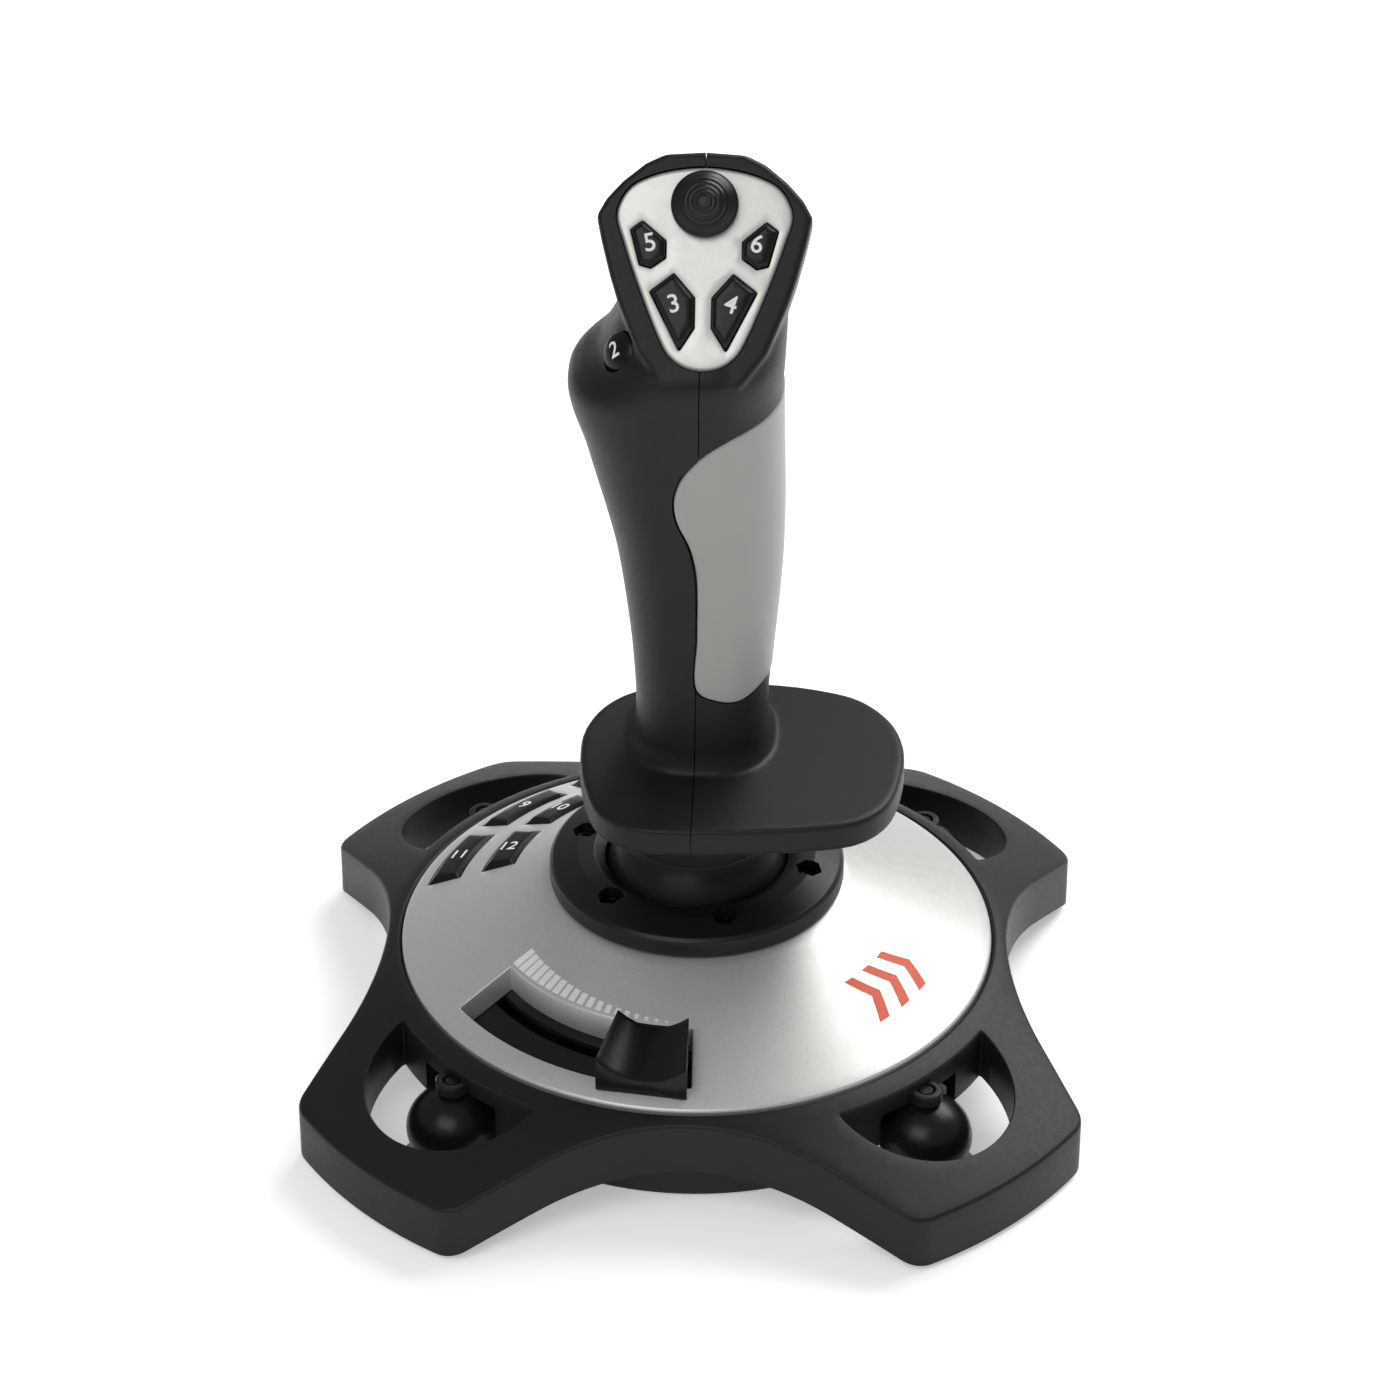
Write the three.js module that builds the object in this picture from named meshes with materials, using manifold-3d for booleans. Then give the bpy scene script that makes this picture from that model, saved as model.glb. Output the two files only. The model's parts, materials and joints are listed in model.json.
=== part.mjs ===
// Flight joystick: an X-shaped desktop base with a conical top plate, a throttle slider and six
// base keys, and a right-hand grip on a gimbal, with a hat switch, thumb buttons and a trigger.
// Millimetres. +Z is up, the user sits on the -Y side, +X is the user's right.
// The origin is the centre of the footprint, on the table.

import * as THREE from 'three';
import { mergeVertices } from 'three/addons/utils/BufferGeometryUtils.js';
import Module from 'manifold-3d';

const wasm = await Module();
wasm.setup();

// ---------------------------------------------------------------- driving dimensions

const GAP = 0.3; // between pieces that touch
const RUNNING = 0.1; // radial clearance of a pin in its hole
const DEG = Math.PI / 180;
const ROUND = 32; // sides of the large round surfaces

// base
const LOBE_RADIUS = 120.3; // outer arc of each lobe, from the centre
const LOBE_ANGLES = [45, 135, 225, 315];
const SCOOP_RADIUS = 85; // concave side between two lobes
const SCOOP_DEPTH = 84.3; // nearest point of that side to the centre
const SCOOP_HALF_WIDTH = 38; // where the side turns straight
const CORNER_RADIUS = 8;
const BODY_SLOPE = 0.401; // fall of the black body per mm of radius
const PLATE_RADIUS = 80; // silver plate
const PLATE_EDGE_Z = 32.7;
const PLATE_SLOPE = 0.463;
const PLATE_THICK = 2.4;
const PLATE_BORE = 28.6;
const HUB_SEAT_RADIUS = 38.8;
const BODY_DEPTH = 15.5; // height of the body's side walls
const SKIRT_FOOT_Z = 1;
const WALL = 2.6;
const LEDGE_RADIUS = 77.8; // inner edge of the ledge that carries the plate
const OPENING_RADIUS = 26.4; // hand hole in each lobe
const OPENING_CENTRE = 83.3;
const OPENING_INNER = 86.3;
const DRUM_RADIUS = 75.4; // round foot of the bottom cover
const DRUM_FOOT_Z = 1.2;
const CUP_AT = 88; // suction cup centre, from the base axis
const CUP_BULB = 12.4;
const CUP_NICHE = 14.2;
const CUP_TAB_Z = 24.6;
const CABLE_INLET_Z = 24.6;

// hub and gimbal
const HUB_RADIUS = 39.6;
const SCREW_CIRCLE = 31.3;
const SCREW_START_ANGLE = -14.7;
const PIVOT_Z = 48;
const DOME_RADIUS = 25.6;
const NECK_RADIUS = 18.8;
const PIN_RADIUS = 2;
const SHAFT_RADIUS = 3.5;
const SHAFT_TOP_Z = 118;

// throttle
const SLOT_INNER = 58;
const SLOT_OUTER = 73.8;
const SLOT_FROM = -146.2;
const SLOT_TO = -89.2;
const SLOT_DEPTH = 7.5;
const KNOB_ANGLE = 18;
const KNOB_TO = -90;
const NECK_INNER = 60.6;
const NECK_OUTER = 62.4;

// base keys: an outer and an inner row of three
const KEY_CENTRES = [110.2, 134.3, 158.4];
const KEY_ANGLE = 19.4;
const KEY_ROWS = [[66.6, 76.2], [51, 60.6]];
const KEY_BEVEL = 1.4; // width of the sloping sides round a key's top
const KEY_PROUD = [0.5, 1.8]; // key top above the plate, at its inner and its outer edge
const KEY_WALL = 1;
const KEY_BOARD_Z = 21.5;
const KEY_STEM_Z = 27.5;

// hand rest and grip
const REST_LOW_Z = 89;
const REST_TOP_Z = 97;
const LEAN = 2.3 / 167; // the grip's seam leans to the right by this much per mm
const GRIP_WALL = 2.8;
const PANEL_THICK = 2;
const TRIGGER_HALF_WIDTH = 6.5;
const TRIGGER_PIVOT = [19, 233];

// head: its own frame lies in the face, X across, Y up the face, Z out of it
const FACE_TILT = 55;
const FACE_CENTRE = [2.3, -14.45, 243.5];
const RIM = 1; // the head's rim stands this far proud of the face plate
const FACE_PLATE_THICK = 2;
const HEAD_CAVITY = 14;
const HAT_AT = 15.8;
const HAT_PIVOT = -4.9;

// ---------------------------------------------------------------- materials

const blackPlastic = material(0x2b2b2b, 0.5, 0);
const keyPlastic = material(0x1c1c1c, 0.4, 0);
const silverPaint = material(0xb9bab4, 0.35, 0.6);
const whiteSilver = material(0xdfe2dc, 0.4, 0.2);
const greyRubber = material(0x96988f, 0.6, 0);
const blackRubber = material(0x151515, 0.3, 0);
const steel = material(0x8a8d90, 0.3, 1);
const innerPlastic = material(0x3c3f42, 0.6, 0);
const circuitBoard = material(0x1f5a35, 0.5, 0);

function material(color, roughness, metalness) {
  return new THREE.MeshStandardMaterial({ color, roughness, metalness });
}

// ---------------------------------------------------------------- solids

function signedVolume(position, index) {
  const [a, b, c] = [new THREE.Vector3(), new THREE.Vector3(), new THREE.Vector3()];
  let volume = 0;
  for (let i = 0; i < index.length; i += 3) {
    a.fromBufferAttribute(position, index[i]);
    b.fromBufferAttribute(position, index[i + 1]);
    c.fromBufferAttribute(position, index[i + 2]);
    volume += a.dot(b.cross(c)) / 6;
  }
  return volume;
}

// A closed geometry as a solid: vertices welded, slivers dropped, faces turned outwards.
function solid(geometry, matrix) {
  const shape = geometry.clone();
  shape.deleteAttribute('normal');
  shape.deleteAttribute('uv');
  if (matrix) shape.applyMatrix4(matrix);
  const welded = mergeVertices(shape, 1e-4);
  const source = welded.index.array;
  const kept = [];
  for (let i = 0; i < source.length; i += 3) {
    const [a, b, c] = [source[i], source[i + 1], source[i + 2]];
    if (a !== b && b !== c && c !== a) kept.push(a, b, c);
  }
  if (signedVolume(welded.attributes.position, kept) < 0) {
    for (let i = 0; i < kept.length; i += 3) [kept[i], kept[i + 1]] = [kept[i + 1], kept[i]];
  }
  const vertProperties = new Float32Array(welded.attributes.position.array);
  return new wasm.Manifold(
    new wasm.Mesh({ numProp: 3, vertProperties, triVerts: new Uint32Array(kept) })
  );
}

function geometryOf(manifold) {
  const { vertProperties, triVerts } = manifold.getMesh();
  const geometry = new THREE.BufferGeometry();
  geometry.setAttribute('position', new THREE.BufferAttribute(new Float32Array(vertProperties), 3));
  geometry.setIndex(new THREE.BufferAttribute(new Uint32Array(triVerts), 1));
  return geometry;
}

function union(first, ...others) {
  return others.reduce((whole, piece) => whole.add(piece), first);
}

function cut(first, ...others) {
  return others.reduce((whole, piece) => whole.subtract(piece), first);
}

function placed(x, y, z, ax = 0, ay = 0, az = 0) {
  const turn = new THREE.Euler(ax * DEG, ay * DEG, az * DEG, 'ZYX');
  const matrix = new THREE.Matrix4().makeRotationFromEuler(turn);
  return matrix.setPosition(x, y, z);
}

function box(x0, x1, y0, y1, z0, z1, matrix) {
  const geometry = new THREE.BoxGeometry(x1 - x0, y1 - y0, z1 - z0);
  geometry.translate((x0 + x1) / 2, (y0 + y1) / 2, (z0 + z1) / 2);
  return solid(geometry, matrix);
}

function rod(radius, z0, z1, segments = 24, matrix) {
  const geometry = new THREE.CylinderGeometry(radius, radius, z1 - z0, segments);
  geometry.rotateX(90 * DEG);
  geometry.translate(0, 0, (z0 + z1) / 2);
  return solid(geometry, matrix);
}

// A solid turned about Z from a profile of [radius, z] points that starts and ends on the axis.
function turned(profile, segments = 32, matrix) {
  const points = profile.map(([r, z]) => new THREE.Vector2(r, z));
  const geometry = new THREE.LatheGeometry(points, segments);
  geometry.rotateX(90 * DEG);
  return solid(geometry, matrix);
}

// The same from a profile that closes on itself.
function turnedRing(profile, segments = 32, matrix) {
  return turned([...profile, profile[0]], segments, matrix);
}

function prism(points, z0, z1, matrix) {
  const shape = new THREE.Shape(points.map(([x, y]) => new THREE.Vector2(x, y)));
  const geometry = new THREE.ExtrudeGeometry(shape, { depth: z1 - z0, bevelEnabled: false });
  geometry.translate(0, 0, z0);
  return solid(geometry, matrix);
}

function arcPoints(cx, cy, radius, from, to, count) {
  return Array.from({ length: count + 1 }, (_, i) => {
    const angle = (from + ((to - from) * i) / count) * DEG;
    return [cx + radius * Math.cos(angle), cy + radius * Math.sin(angle)];
  });
}

function sectorOutline(r0, r1, from, to, steps) {
  return [...arcPoints(0, 0, r1, from, to, steps), ...arcPoints(0, 0, r0, to, from, steps)];
}

// A sector of a flat ring.
function sector(r0, r1, from, to, z0, z1) {
  const steps = Math.max(2, Math.ceil(Math.abs(to - from) / 6));
  return prism(sectorOutline(r0, r1, from, to, steps), z0, z1);
}

// A loft through closed rings of points [x, y, z], each ring with the same count.
function loft(rings, matrix) {
  const count = rings[0].length;
  const position = rings.flat(2);
  const index = [];
  for (let k = 0; k + 1 < rings.length; k += 1) {
    for (let i = 0; i < count; i += 1) {
      const [a, b] = [k * count + i, k * count + ((i + 1) % count)];
      index.push(a, b, b + count, a, b + count, a + count);
    }
  }
  const middle = (ring) => [0, 1, 2].map((c) => ring.reduce((sum, p) => sum + p[c], 0) / count);
  const ends = [rings[0], rings[rings.length - 1]];
  position.push(...middle(ends[0]), ...middle(ends[1]));
  const last = (rings.length - 1) * count;
  for (let i = 0; i < count; i += 1) {
    const next = (i + 1) % count;
    index.push(rings.length * count, next, i);
    index.push(rings.length * count + 1, last + i, last + next);
  }
  const geometry = new THREE.BufferGeometry();
  geometry.setAttribute('position', new THREE.BufferAttribute(new Float32Array(position), 3));
  geometry.setIndex(index);
  return solid(geometry, matrix);
}

function roundSpring(coilRadius, wireRadius, turns, pitch, matrix) {
  class Helix extends THREE.Curve {
    getPoint(t, target = new THREE.Vector3()) {
      const angle = t * turns * 2 * Math.PI;
      return target.set(coilRadius * Math.cos(angle), coilRadius * Math.sin(angle), t * turns * pitch);
    }
  }
  const outline = arcPoints(0, 0, wireRadius, 0, 270, 3).map(([x, y]) => new THREE.Vector2(x, y));
  const section = new THREE.Shape(outline);
  const options = { steps: Math.round(turns * 8), extrudePath: new Helix(), bevelEnabled: false };
  return solid(new THREE.ExtrudeGeometry(section, options), matrix);
}

function node(name, manifold, look) {
  const mesh = new THREE.Mesh(geometryOf(manifold), look);
  mesh.name = name;
  return mesh;
}

function copiesAt(group, prefix, manifold, look, places) {
  places.forEach(([x, y, z, az], i) => {
    const mesh = node(`${prefix}_${i + 1}`, manifold, look);
    mesh.position.set(x, y, z);
    mesh.rotation.z = (az ?? 0) * DEG;
    group.add(mesh);
  });
}

function polar(radius, angle, z = 0) {
  return [radius * Math.cos(angle * DEG), radius * Math.sin(angle * DEG), z];
}

// ---------------------------------------------------------------- base surfaces

const bodyTop = (r) => PLATE_EDGE_Z + BODY_SLOPE * (PLATE_RADIUS - r);
const plateTop = (r) => PLATE_EDGE_Z + PLATE_SLOPE * (PLATE_RADIUS - r);

// The slab between two heights measured from a cone.
function coneSlab(cone, r0, r1, below, above, segments = ROUND) {
  return turnedRing(
    [[r0, cone(r0) + below], [r1, cone(r1) + below], [r1, cone(r1) + above], [r0, cone(r0) + above]],
    segments
  );
}

// One eighth of the base outline, from the middle of a concave side to the middle of a lobe,
// in a frame whose Y axis runs through the middle of that side.
function outlineEighth(inset) {
  const tangent = Math.asin(SCOOP_HALF_WIDTH / SCOOP_RADIUS) / DEG;
  const scoopY = SCOOP_DEPTH + SCOOP_RADIUS;
  const along = [Math.cos(tangent * DEG), Math.sin(tangent * DEG)];
  const inward = [along[1], -along[0]];
  const start = [SCOOP_HALF_WIDTH, scoopY - SCOOP_RADIUS * Math.cos(tangent * DEG)];
  const shifted = [0, 1].map((c) => start[c] + CORNER_RADIUS * inward[c]);
  const reach = LOBE_RADIUS - CORNER_RADIUS;
  const half = shifted[0] * along[0] + shifted[1] * along[1];
  const run = -half + Math.sqrt(half * half - (shifted[0] ** 2 + shifted[1] ** 2 - reach * reach));
  const corner = [0, 1].map((c) => shifted[c] + run * along[c]);
  const cornerAngle = Math.atan2(corner[1], corner[0]) / DEG;
  return [
    ...arcPoints(0, scoopY, SCOOP_RADIUS + inset, -90, -90 + tangent, 3),
    ...arcPoints(corner[0], corner[1], CORNER_RADIUS - inset, 90 + tangent, cornerAngle, 2),
    ...arcPoints(0, 0, LOBE_RADIUS - inset, cornerAngle, 45, 1).slice(1),
  ];
}

function baseOutline(inset) {
  const eighth = outlineEighth(inset);
  const quarter = [...eighth, ...eighth.slice(1, -1).reverse().map(([x, y]) => [y, x])];
  return [0, 1, 2, 3].flatMap((turn) => {
    const [c, s] = [Math.cos(-turn * 90 * DEG), Math.sin(-turn * 90 * DEG)];
    return quarter.map(([x, y]) => [x * c - y * s, x * s + y * c]);
  });
}

function lobeOpenings(grow) {
  const holes = LOBE_ANGLES.map((angle) => {
    const [x, y] = polar(OPENING_CENTRE, angle);
    return rod(OPENING_RADIUS + grow, -5, 60, 20, placed(x, y, 0, 0, 0, angle));
  });
  return cut(union(...holes), rod(OPENING_INNER - grow, -6, 61, ROUND));
}

function cupNiches(grow, topZ) {
  return union(...LOBE_ANGLES.map((angle) => {
    const [x, y] = polar(CUP_AT, angle);
    return rod(CUP_NICHE + grow, -5, topZ, 10, placed(x, y, 0, 0, 0, angle));
  }));
}

// ---------------------------------------------------------------- base pieces

function baseShell() {
  const slab = coneSlab(bodyTop, LEDGE_RADIUS, 128, -BODY_DEPTH, 0);
  const raw = prism(baseOutline(0), SKIRT_FOOT_Z, 60).intersect(slab);
  const rib = turnedRing([[75, 10], [LEDGE_RADIUS + WALL, 10], [LEDGE_RADIUS + WALL, 60], [75, 60]], ROUND);
  const inner = cut(prism(baseOutline(WALL), -1, 60), lobeOpenings(WALL), cupNiches(2.4, 27), rib);
  const hollow = inner.intersect(coneSlab(bodyTop, 70, 126, -30, -WALL));
  const belowRib = coneSlab(bodyTop, 70, LEDGE_RADIUS + WALL + 0.2, -30, -BODY_DEPTH + 3);
  const seat = turned([[0, 30], [80.4, 30], [80.4, 31.4], [81.6, 33], [81.6, 60], [0, 60]], ROUND);
  const tabs = LOBE_ANGLES.map((angle) => {
    const turn = placed(0, 0, 0, 0, 0, angle);
    const arm = box(83, CUP_AT, -4.2, 4.2, CUP_TAB_Z, CUP_TAB_Z + 3.2, turn);
    return union(arm, rod(4.2, CUP_TAB_Z, CUP_TAB_Z + 3.2, 16, placed(...polar(CUP_AT, angle))));
  });
  const studHoles = LOBE_ANGLES.map((angle) => (
    rod(2.5, CUP_TAB_Z - 1, CUP_TAB_Z + 5, 12, placed(...polar(CUP_AT, angle)))
  ));
  const inlet = rod(3.5, -95, -70, 20, placed(0, 0, CABLE_INLET_Z, 90));
  const shell = cut(raw, hollow, belowRib, lobeOpenings(0), cupNiches(0, CUP_TAB_Z), seat);
  return cut(union(shell, ...tabs), ...studHoles, inlet);
}

function bottomCover() {
  const plan = cut(prism(baseOutline(WALL + GAP), SKIRT_FOOT_Z + 0.3, 60), lobeOpenings(WALL + GAP));
  const flange = plan.intersect(coneSlab(bodyTop, 73.2, 126, -BODY_DEPTH + GAP, -BODY_DEPTH + 2.5));
  const drum = turned([
    [0, DRUM_FOOT_Z], [74.4, DRUM_FOOT_Z], [DRUM_RADIUS, 2.2], [DRUM_RADIUS, 21], [0, 21],
  ], ROUND);
  const inside = cut(rod(DRUM_RADIUS - 2.5, DRUM_FOOT_Z + 2.5, 30, ROUND), cupNiches(5.2, 40));
  const topTrim = coneSlab(bodyTop, 1, 90, -BODY_DEPTH + 2.5, 40);
  const posts = boardPosts().map(([x, y]) => rod(3, 3, 7.7, 10, placed(x, y, 0)));
  const shell = cut(union(flange, drum), cut(inside, ...posts), topTrim, cupNiches(2.7, 50));
  const screwHoles = coverScrewPlaces().map(([x, y]) => union(
    rod(3.3, 0, 3, 12, placed(x, y, 0)),
    rod(1.8, 0, 12, 8, placed(x, y, 0))
  ));
  const screwPosts = coverScrewPlaces().map(([x, y]) => rod(5, 3, 6.5, 12, placed(x, y, 0)));
  return cut(union(shell, ...screwPosts), ...screwHoles);
}

function boardPosts() {
  return [[-26, 24], [26, 24], [-26, 49], [26, 49]];
}

function coverScrewPlaces() {
  return [0, 90, 180, 270].map((angle) => polar(64, angle + 10, 0));
}

function coverScrew() {
  return union(rod(2.9, 0.9, 2.7, 12), rod(1.4, 2, 13, 8));
}

function suctionCup() {
  const bulbZ = 12.6;
  const profile = [[0, 3.4], [7, 2.6], [12.6, 0], [14.4, 0], [14.6, 0.9], [11.8, 3.2]];
  for (let angle = -38; angle <= 76; angle += 28.5) {
    profile.push([CUP_BULB * Math.cos(angle * DEG), bulbZ + (CUP_BULB - 1) * Math.sin(angle * DEG)]);
  }
  profile.push([2.1, 23.9], [2.1, CUP_TAB_Z + 3], [0, CUP_TAB_Z + 3]);
  return turned(profile, 16);
}

function throttleSlotWalls() {
  const around = sector(SLOT_INNER - 1.2, SLOT_OUTER + 1.2, SLOT_FROM - 1, SLOT_TO + 1, 10, 60);
  return around.intersect(coneSlab(plateTop, 50, 79, -SLOT_DEPTH, -1));
}

function keyOutline(row, angle, grow) {
  const [r0, r1] = KEY_ROWS[row];
  const half = KEY_ANGLE / 2 + (grow / r1) / DEG;
  return sectorOutline(r0 - grow, r1 + grow, angle - half, angle + half, 4);
}

function keyPocket(row, angle, grow) {
  return prism(keyOutline(row, angle, grow), 10, 60);
}

function everyKey(make) {
  return KEY_CENTRES.flatMap((angle) => KEY_ROWS.map((_, row) => make(row, angle)));
}

function topPlate() {
  const seatZ = plateTop(HUB_SEAT_RADIUS);
  const cone = turnedRing([
    [PLATE_BORE, seatZ], [HUB_SEAT_RADIUS, seatZ], [PLATE_RADIUS - 0.5, plateTop(PLATE_RADIUS - 0.5)],
    [PLATE_RADIUS, PLATE_EDGE_Z - 0.5], [PLATE_RADIUS, 30.3], [PLATE_RADIUS - 3, 30.3],
    [HUB_SEAT_RADIUS, seatZ - PLATE_THICK], [PLATE_BORE, seatZ - PLATE_THICK],
  ], 48);
  const pocketWalls = union(...everyKey((row, angle) => keyPocket(row, angle, KEY_WALL)));
  const walls = pocketWalls.intersect(coneSlab(plateTop, 45, 79, -4.5, -1));
  const slot = sector(SLOT_INNER, SLOT_OUTER, SLOT_FROM, SLOT_TO, 10, 60);
  const screws = hubScrewPlaces().map(([x, y]) => rod(1.8, 40, 60, 8, placed(x, y, 0)));
  const pockets = everyKey((row, angle) => keyPocket(row, angle, 0));
  return cut(union(cone, walls, throttleSlotWalls()), slot, ...pockets, ...screws);
}

function hubScrewPlaces() {
  return [0, 1, 2, 3, 4, 5].map((k) => polar(SCREW_CIRCLE, SCREW_START_ANGLE + 60 * k, 0));
}

function hubRing() {
  const ring = turnedRing([
    [24.5, 58], [27.5, 59.8], [32, 59.7], [38.6, 57.8], [HUB_RADIUS, 56.8], [HUB_RADIUS, 52.1],
    [28.3, 52.1], [28.3, 49.5], [26.3, 49.5], [26.2, 52.5], [24.6, 57.2],
  ], ROUND);
  const hexes = hubScrewPlaces().map(([x, y]) => rod(3.6, 54.2, 65, 6, placed(x, y, 0)));
  const holes = hubScrewPlaces().map(([x, y]) => rod(1.8, 50, 60, 8, placed(x, y, 0)));
  return cut(ring, ...hexes, ...holes);
}

function hubScrew() {
  const head = cut(rod(2.75, 54.5, 57.3, 16), rod(1.6, 55.6, 58, 6));
  return union(head, rod(1.5, 42, 55, 8));
}

function cableInlet() {
  const profile = [[1.9, -86.6], [3.6, -86.6], [4.4, -85.8], [4.4, -84.9], [3.2, -84.9], [3.2, -81.2],
    [4.4, -81.2], [4.4, -80.7], [1.9, -80.7]];
  return turnedRing(profile, 16, placed(0, 0, 0, 90));
}

// ---------------------------------------------------------------- inside the base

function gimbalHousing() {
  const cup = turned([
    [0, 24], [31.4, 24], [31.4, 25.6], [29.8, 25.6], [29.8, 46.1], [36.5, 46.1], [36.5, 49.1],
    [27.3, 49.1], [27.3, 26.5], [0, 26.5],
  ], 24);
  const post = box(14.6, 17.6, -5, 5, 26, 52.5);
  const mirrored = box(-17.6, -14.6, -5, 5, 26, 52.5);
  const bearing = rod(PIN_RADIUS + RUNNING, -20, 20, 24, placed(0, 0, PIVOT_Z, 0, 90));
  const screws = hubScrewPlaces().map(([x, y]) => rod(1.8, 40, 60, 8, placed(x, y, 0)));
  return cut(union(cup, post, mirrored), bearing, ...screws);
}

function pitchCradle() {
  const ring = cut(box(-11, 11, -13.5, 13.5, 44, 52), box(-7.4, 7.4, -10, 10, 40, 56));
  const bearing = rod(PIN_RADIUS + RUNNING, -20, 20, 24, placed(0, 0, PIVOT_Z, 90));
  const pins = [rod(PIN_RADIUS, 10, 17.8, 24), rod(PIN_RADIUS, -17.8, -10, 24)];
  const axle = placed(0, 0, PIVOT_Z, 0, 90);
  return union(cut(ring, bearing), ...pins.map((pin) => solid(geometryOf(pin), axle)));
}

function rollBlock() {
  const block = box(-5.6, 5.6, -6.2, 6.2, 43, 53);
  const axle = placed(0, 0, PIVOT_Z, 90);
  const pins = [rod(PIN_RADIUS, 5, 13.3, 24), rod(PIN_RADIUS, -13.3, -5, 24)];
  const whole = union(block, ...pins.map((pin) => solid(geometryOf(pin), axle)));
  return cut(whole, rod(SHAFT_RADIUS + GAP, 40, 56, 24));
}

function pivotDome() {
  const at = (radius, angle) => [radius * Math.sin(angle * DEG), PIVOT_Z + radius * Math.cos(angle * DEG)];
  const outerTop = Math.asin(NECK_RADIUS / DOME_RADIUS) / DEG;
  const innerTop = Math.asin((NECK_RADIUS - 2) / (DOME_RADIUS - 2)) / DEG;
  const lid = REST_LOW_Z - 0.4;
  const profile = [];
  for (let k = 0; k <= 7; k += 1) profile.push(at(DOME_RADIUS, 97 + ((outerTop - 97) * k) / 7));
  profile.push([NECK_RADIUS, lid], [SHAFT_RADIUS + GAP, lid], [SHAFT_RADIUS + GAP, lid - 2.4]);
  profile.push([NECK_RADIUS - 2, lid - 2.4]);
  for (let k = 0; k <= 4; k += 1) profile.push(at(DOME_RADIUS - 2, innerTop + ((97 - innerTop) * k) / 4));
  return turnedRing(profile, 28);
}

function mainBoard() {
  return union(
    box(-30, 30, 20, 53, 8, 9.6),
    box(-8, 8, 30, 46, 9, 11.4),
    box(14, 26, 42, 50, 9, 14),
    box(-27, -18, 28, 44, 9, 13)
  );
}

function keyBoard() {
  const board = sector(46, 72.6, 98, 171, KEY_BOARD_Z, KEY_BOARD_Z + 1.6);
  const switches = everyKey((row, angle) => {
    const [x, y] = polar(keyMiddle(row), angle);
    return box(-3, 3, -3, 3, KEY_BOARD_Z + 1, KEY_STEM_Z - 0.9, placed(x, y, 0, 0, 0, angle));
  });
  return union(board, ...switches);
}

function keyMiddle(row) {
  return (KEY_ROWS[row][0] + KEY_ROWS[row][1]) / 2 - (row === 0 ? 1.5 : 0);
}

// A cap that stands out of its pocket, with sloping sides and a top flatter than the plate.
function baseKey(row, angle) {
  const [r0, r1] = KEY_ROWS[row];
  const proud = (r) => KEY_PROUD[0] + ((KEY_PROUD[1] - KEY_PROUD[0]) * (r - r0)) / (r1 - r0);
  const layers = [[-0.35, () => -5], [-0.35, () => 0.1], [-0.35 - KEY_BEVEL, proud]];
  const cap = loft(layers.map(([grow, above]) => keyOutline(row, angle, grow).map(([x, y]) => {
    const r = Math.hypot(x, y);
    return [x, y, plateTop(r) + above(r)];
  })));
  const [x, y] = polar(keyMiddle(row), angle);
  const stemTop = plateTop(keyMiddle(row)) - 4;
  return union(cap, box(-2, 2, -2, 2, KEY_STEM_Z, stemTop, placed(x, y, 0, 0, 0, angle)));
}

// ---------------------------------------------------------------- throttle

function throttleTrack() {
  const floor = sector(SLOT_INNER - 3, SLOT_OUTER + 2, SLOT_FROM - 3, SLOT_TO + 3, 10, 60);
  const slab = floor.intersect(coneSlab(plateTop, 50, 79, -SLOT_DEPTH - 2, -SLOT_DEPTH - GAP));
  return cut(slab, sector(NECK_INNER - 0.5, NECK_OUTER + 0.5, SLOT_FROM - 0.5, SLOT_TO + 0.5, 10, 60));
}

function knobCentre() {
  return KNOB_TO - KNOB_ANGLE / 2;
}

function throttleArm() {
  const ring = turnedRing([[30.1, 26], [34, 26], [34, 30], [30.1, 30]], 32);
  const bar = box(33, NECK_OUTER, -3.2, 3.2, 26, 29, placed(0, 0, 0, 0, 0, knobCentre()));
  const neck = sector(NECK_INNER, NECK_OUTER, knobCentre() - 3, knobCentre() + 3, 27, 35);
  const wiper = box(51, 55, -2, 2, 24.4, 27, placed(0, 0, 0, 0, 0, knobCentre()));
  return union(ring, bar, neck, wiper);
}

function throttleSensor() {
  return sector(48, 58, SLOT_FROM - 4, SLOT_TO + 4, 22.5, 24.1);
}

// A wedge-shaped cap that overhangs the slot's outer edge, with a saddle across its top.
function throttleKnob() {
  const [inner, outer, skirt] = [60.2, 77.6, SLOT_OUTER - 0.6];
  const half = KNOB_ANGLE / 2;
  const steps = 8;
  const rings = [inner, (inner + outer) / 2, outer].map((r) => {
    const dip = 2.2 + (1.6 * (r - inner)) / (outer - inner);
    const top = 48.4 - 0.235 * (r - inner);
    const points = [[r, -half, plateTop(r) + 0.5], [r, half, plateTop(r) + 0.5]];
    for (let i = 0; i <= steps; i += 1) {
      const t = 1 - (2 * i) / steps;
      points.push([r, half * t, top - dip * (1 - t * t)]);
    }
    return points.map(([radius, angle, z]) => [...polar(radius, knobCentre() + angle).slice(0, 2), z]);
  });
  const middle = knobCentre();
  const foot = sector(SLOT_INNER + 0.6, skirt, middle - half + 0.6, middle + half - 0.6, 10, 60);
  return union(loft(rings), foot.intersect(coneSlab(plateTop, 50, 79, -5, 1.5)));
}

// ---------------------------------------------------------------- grip outline

const seamX = (z) => LEAN * (z - REST_TOP_Z);

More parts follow.
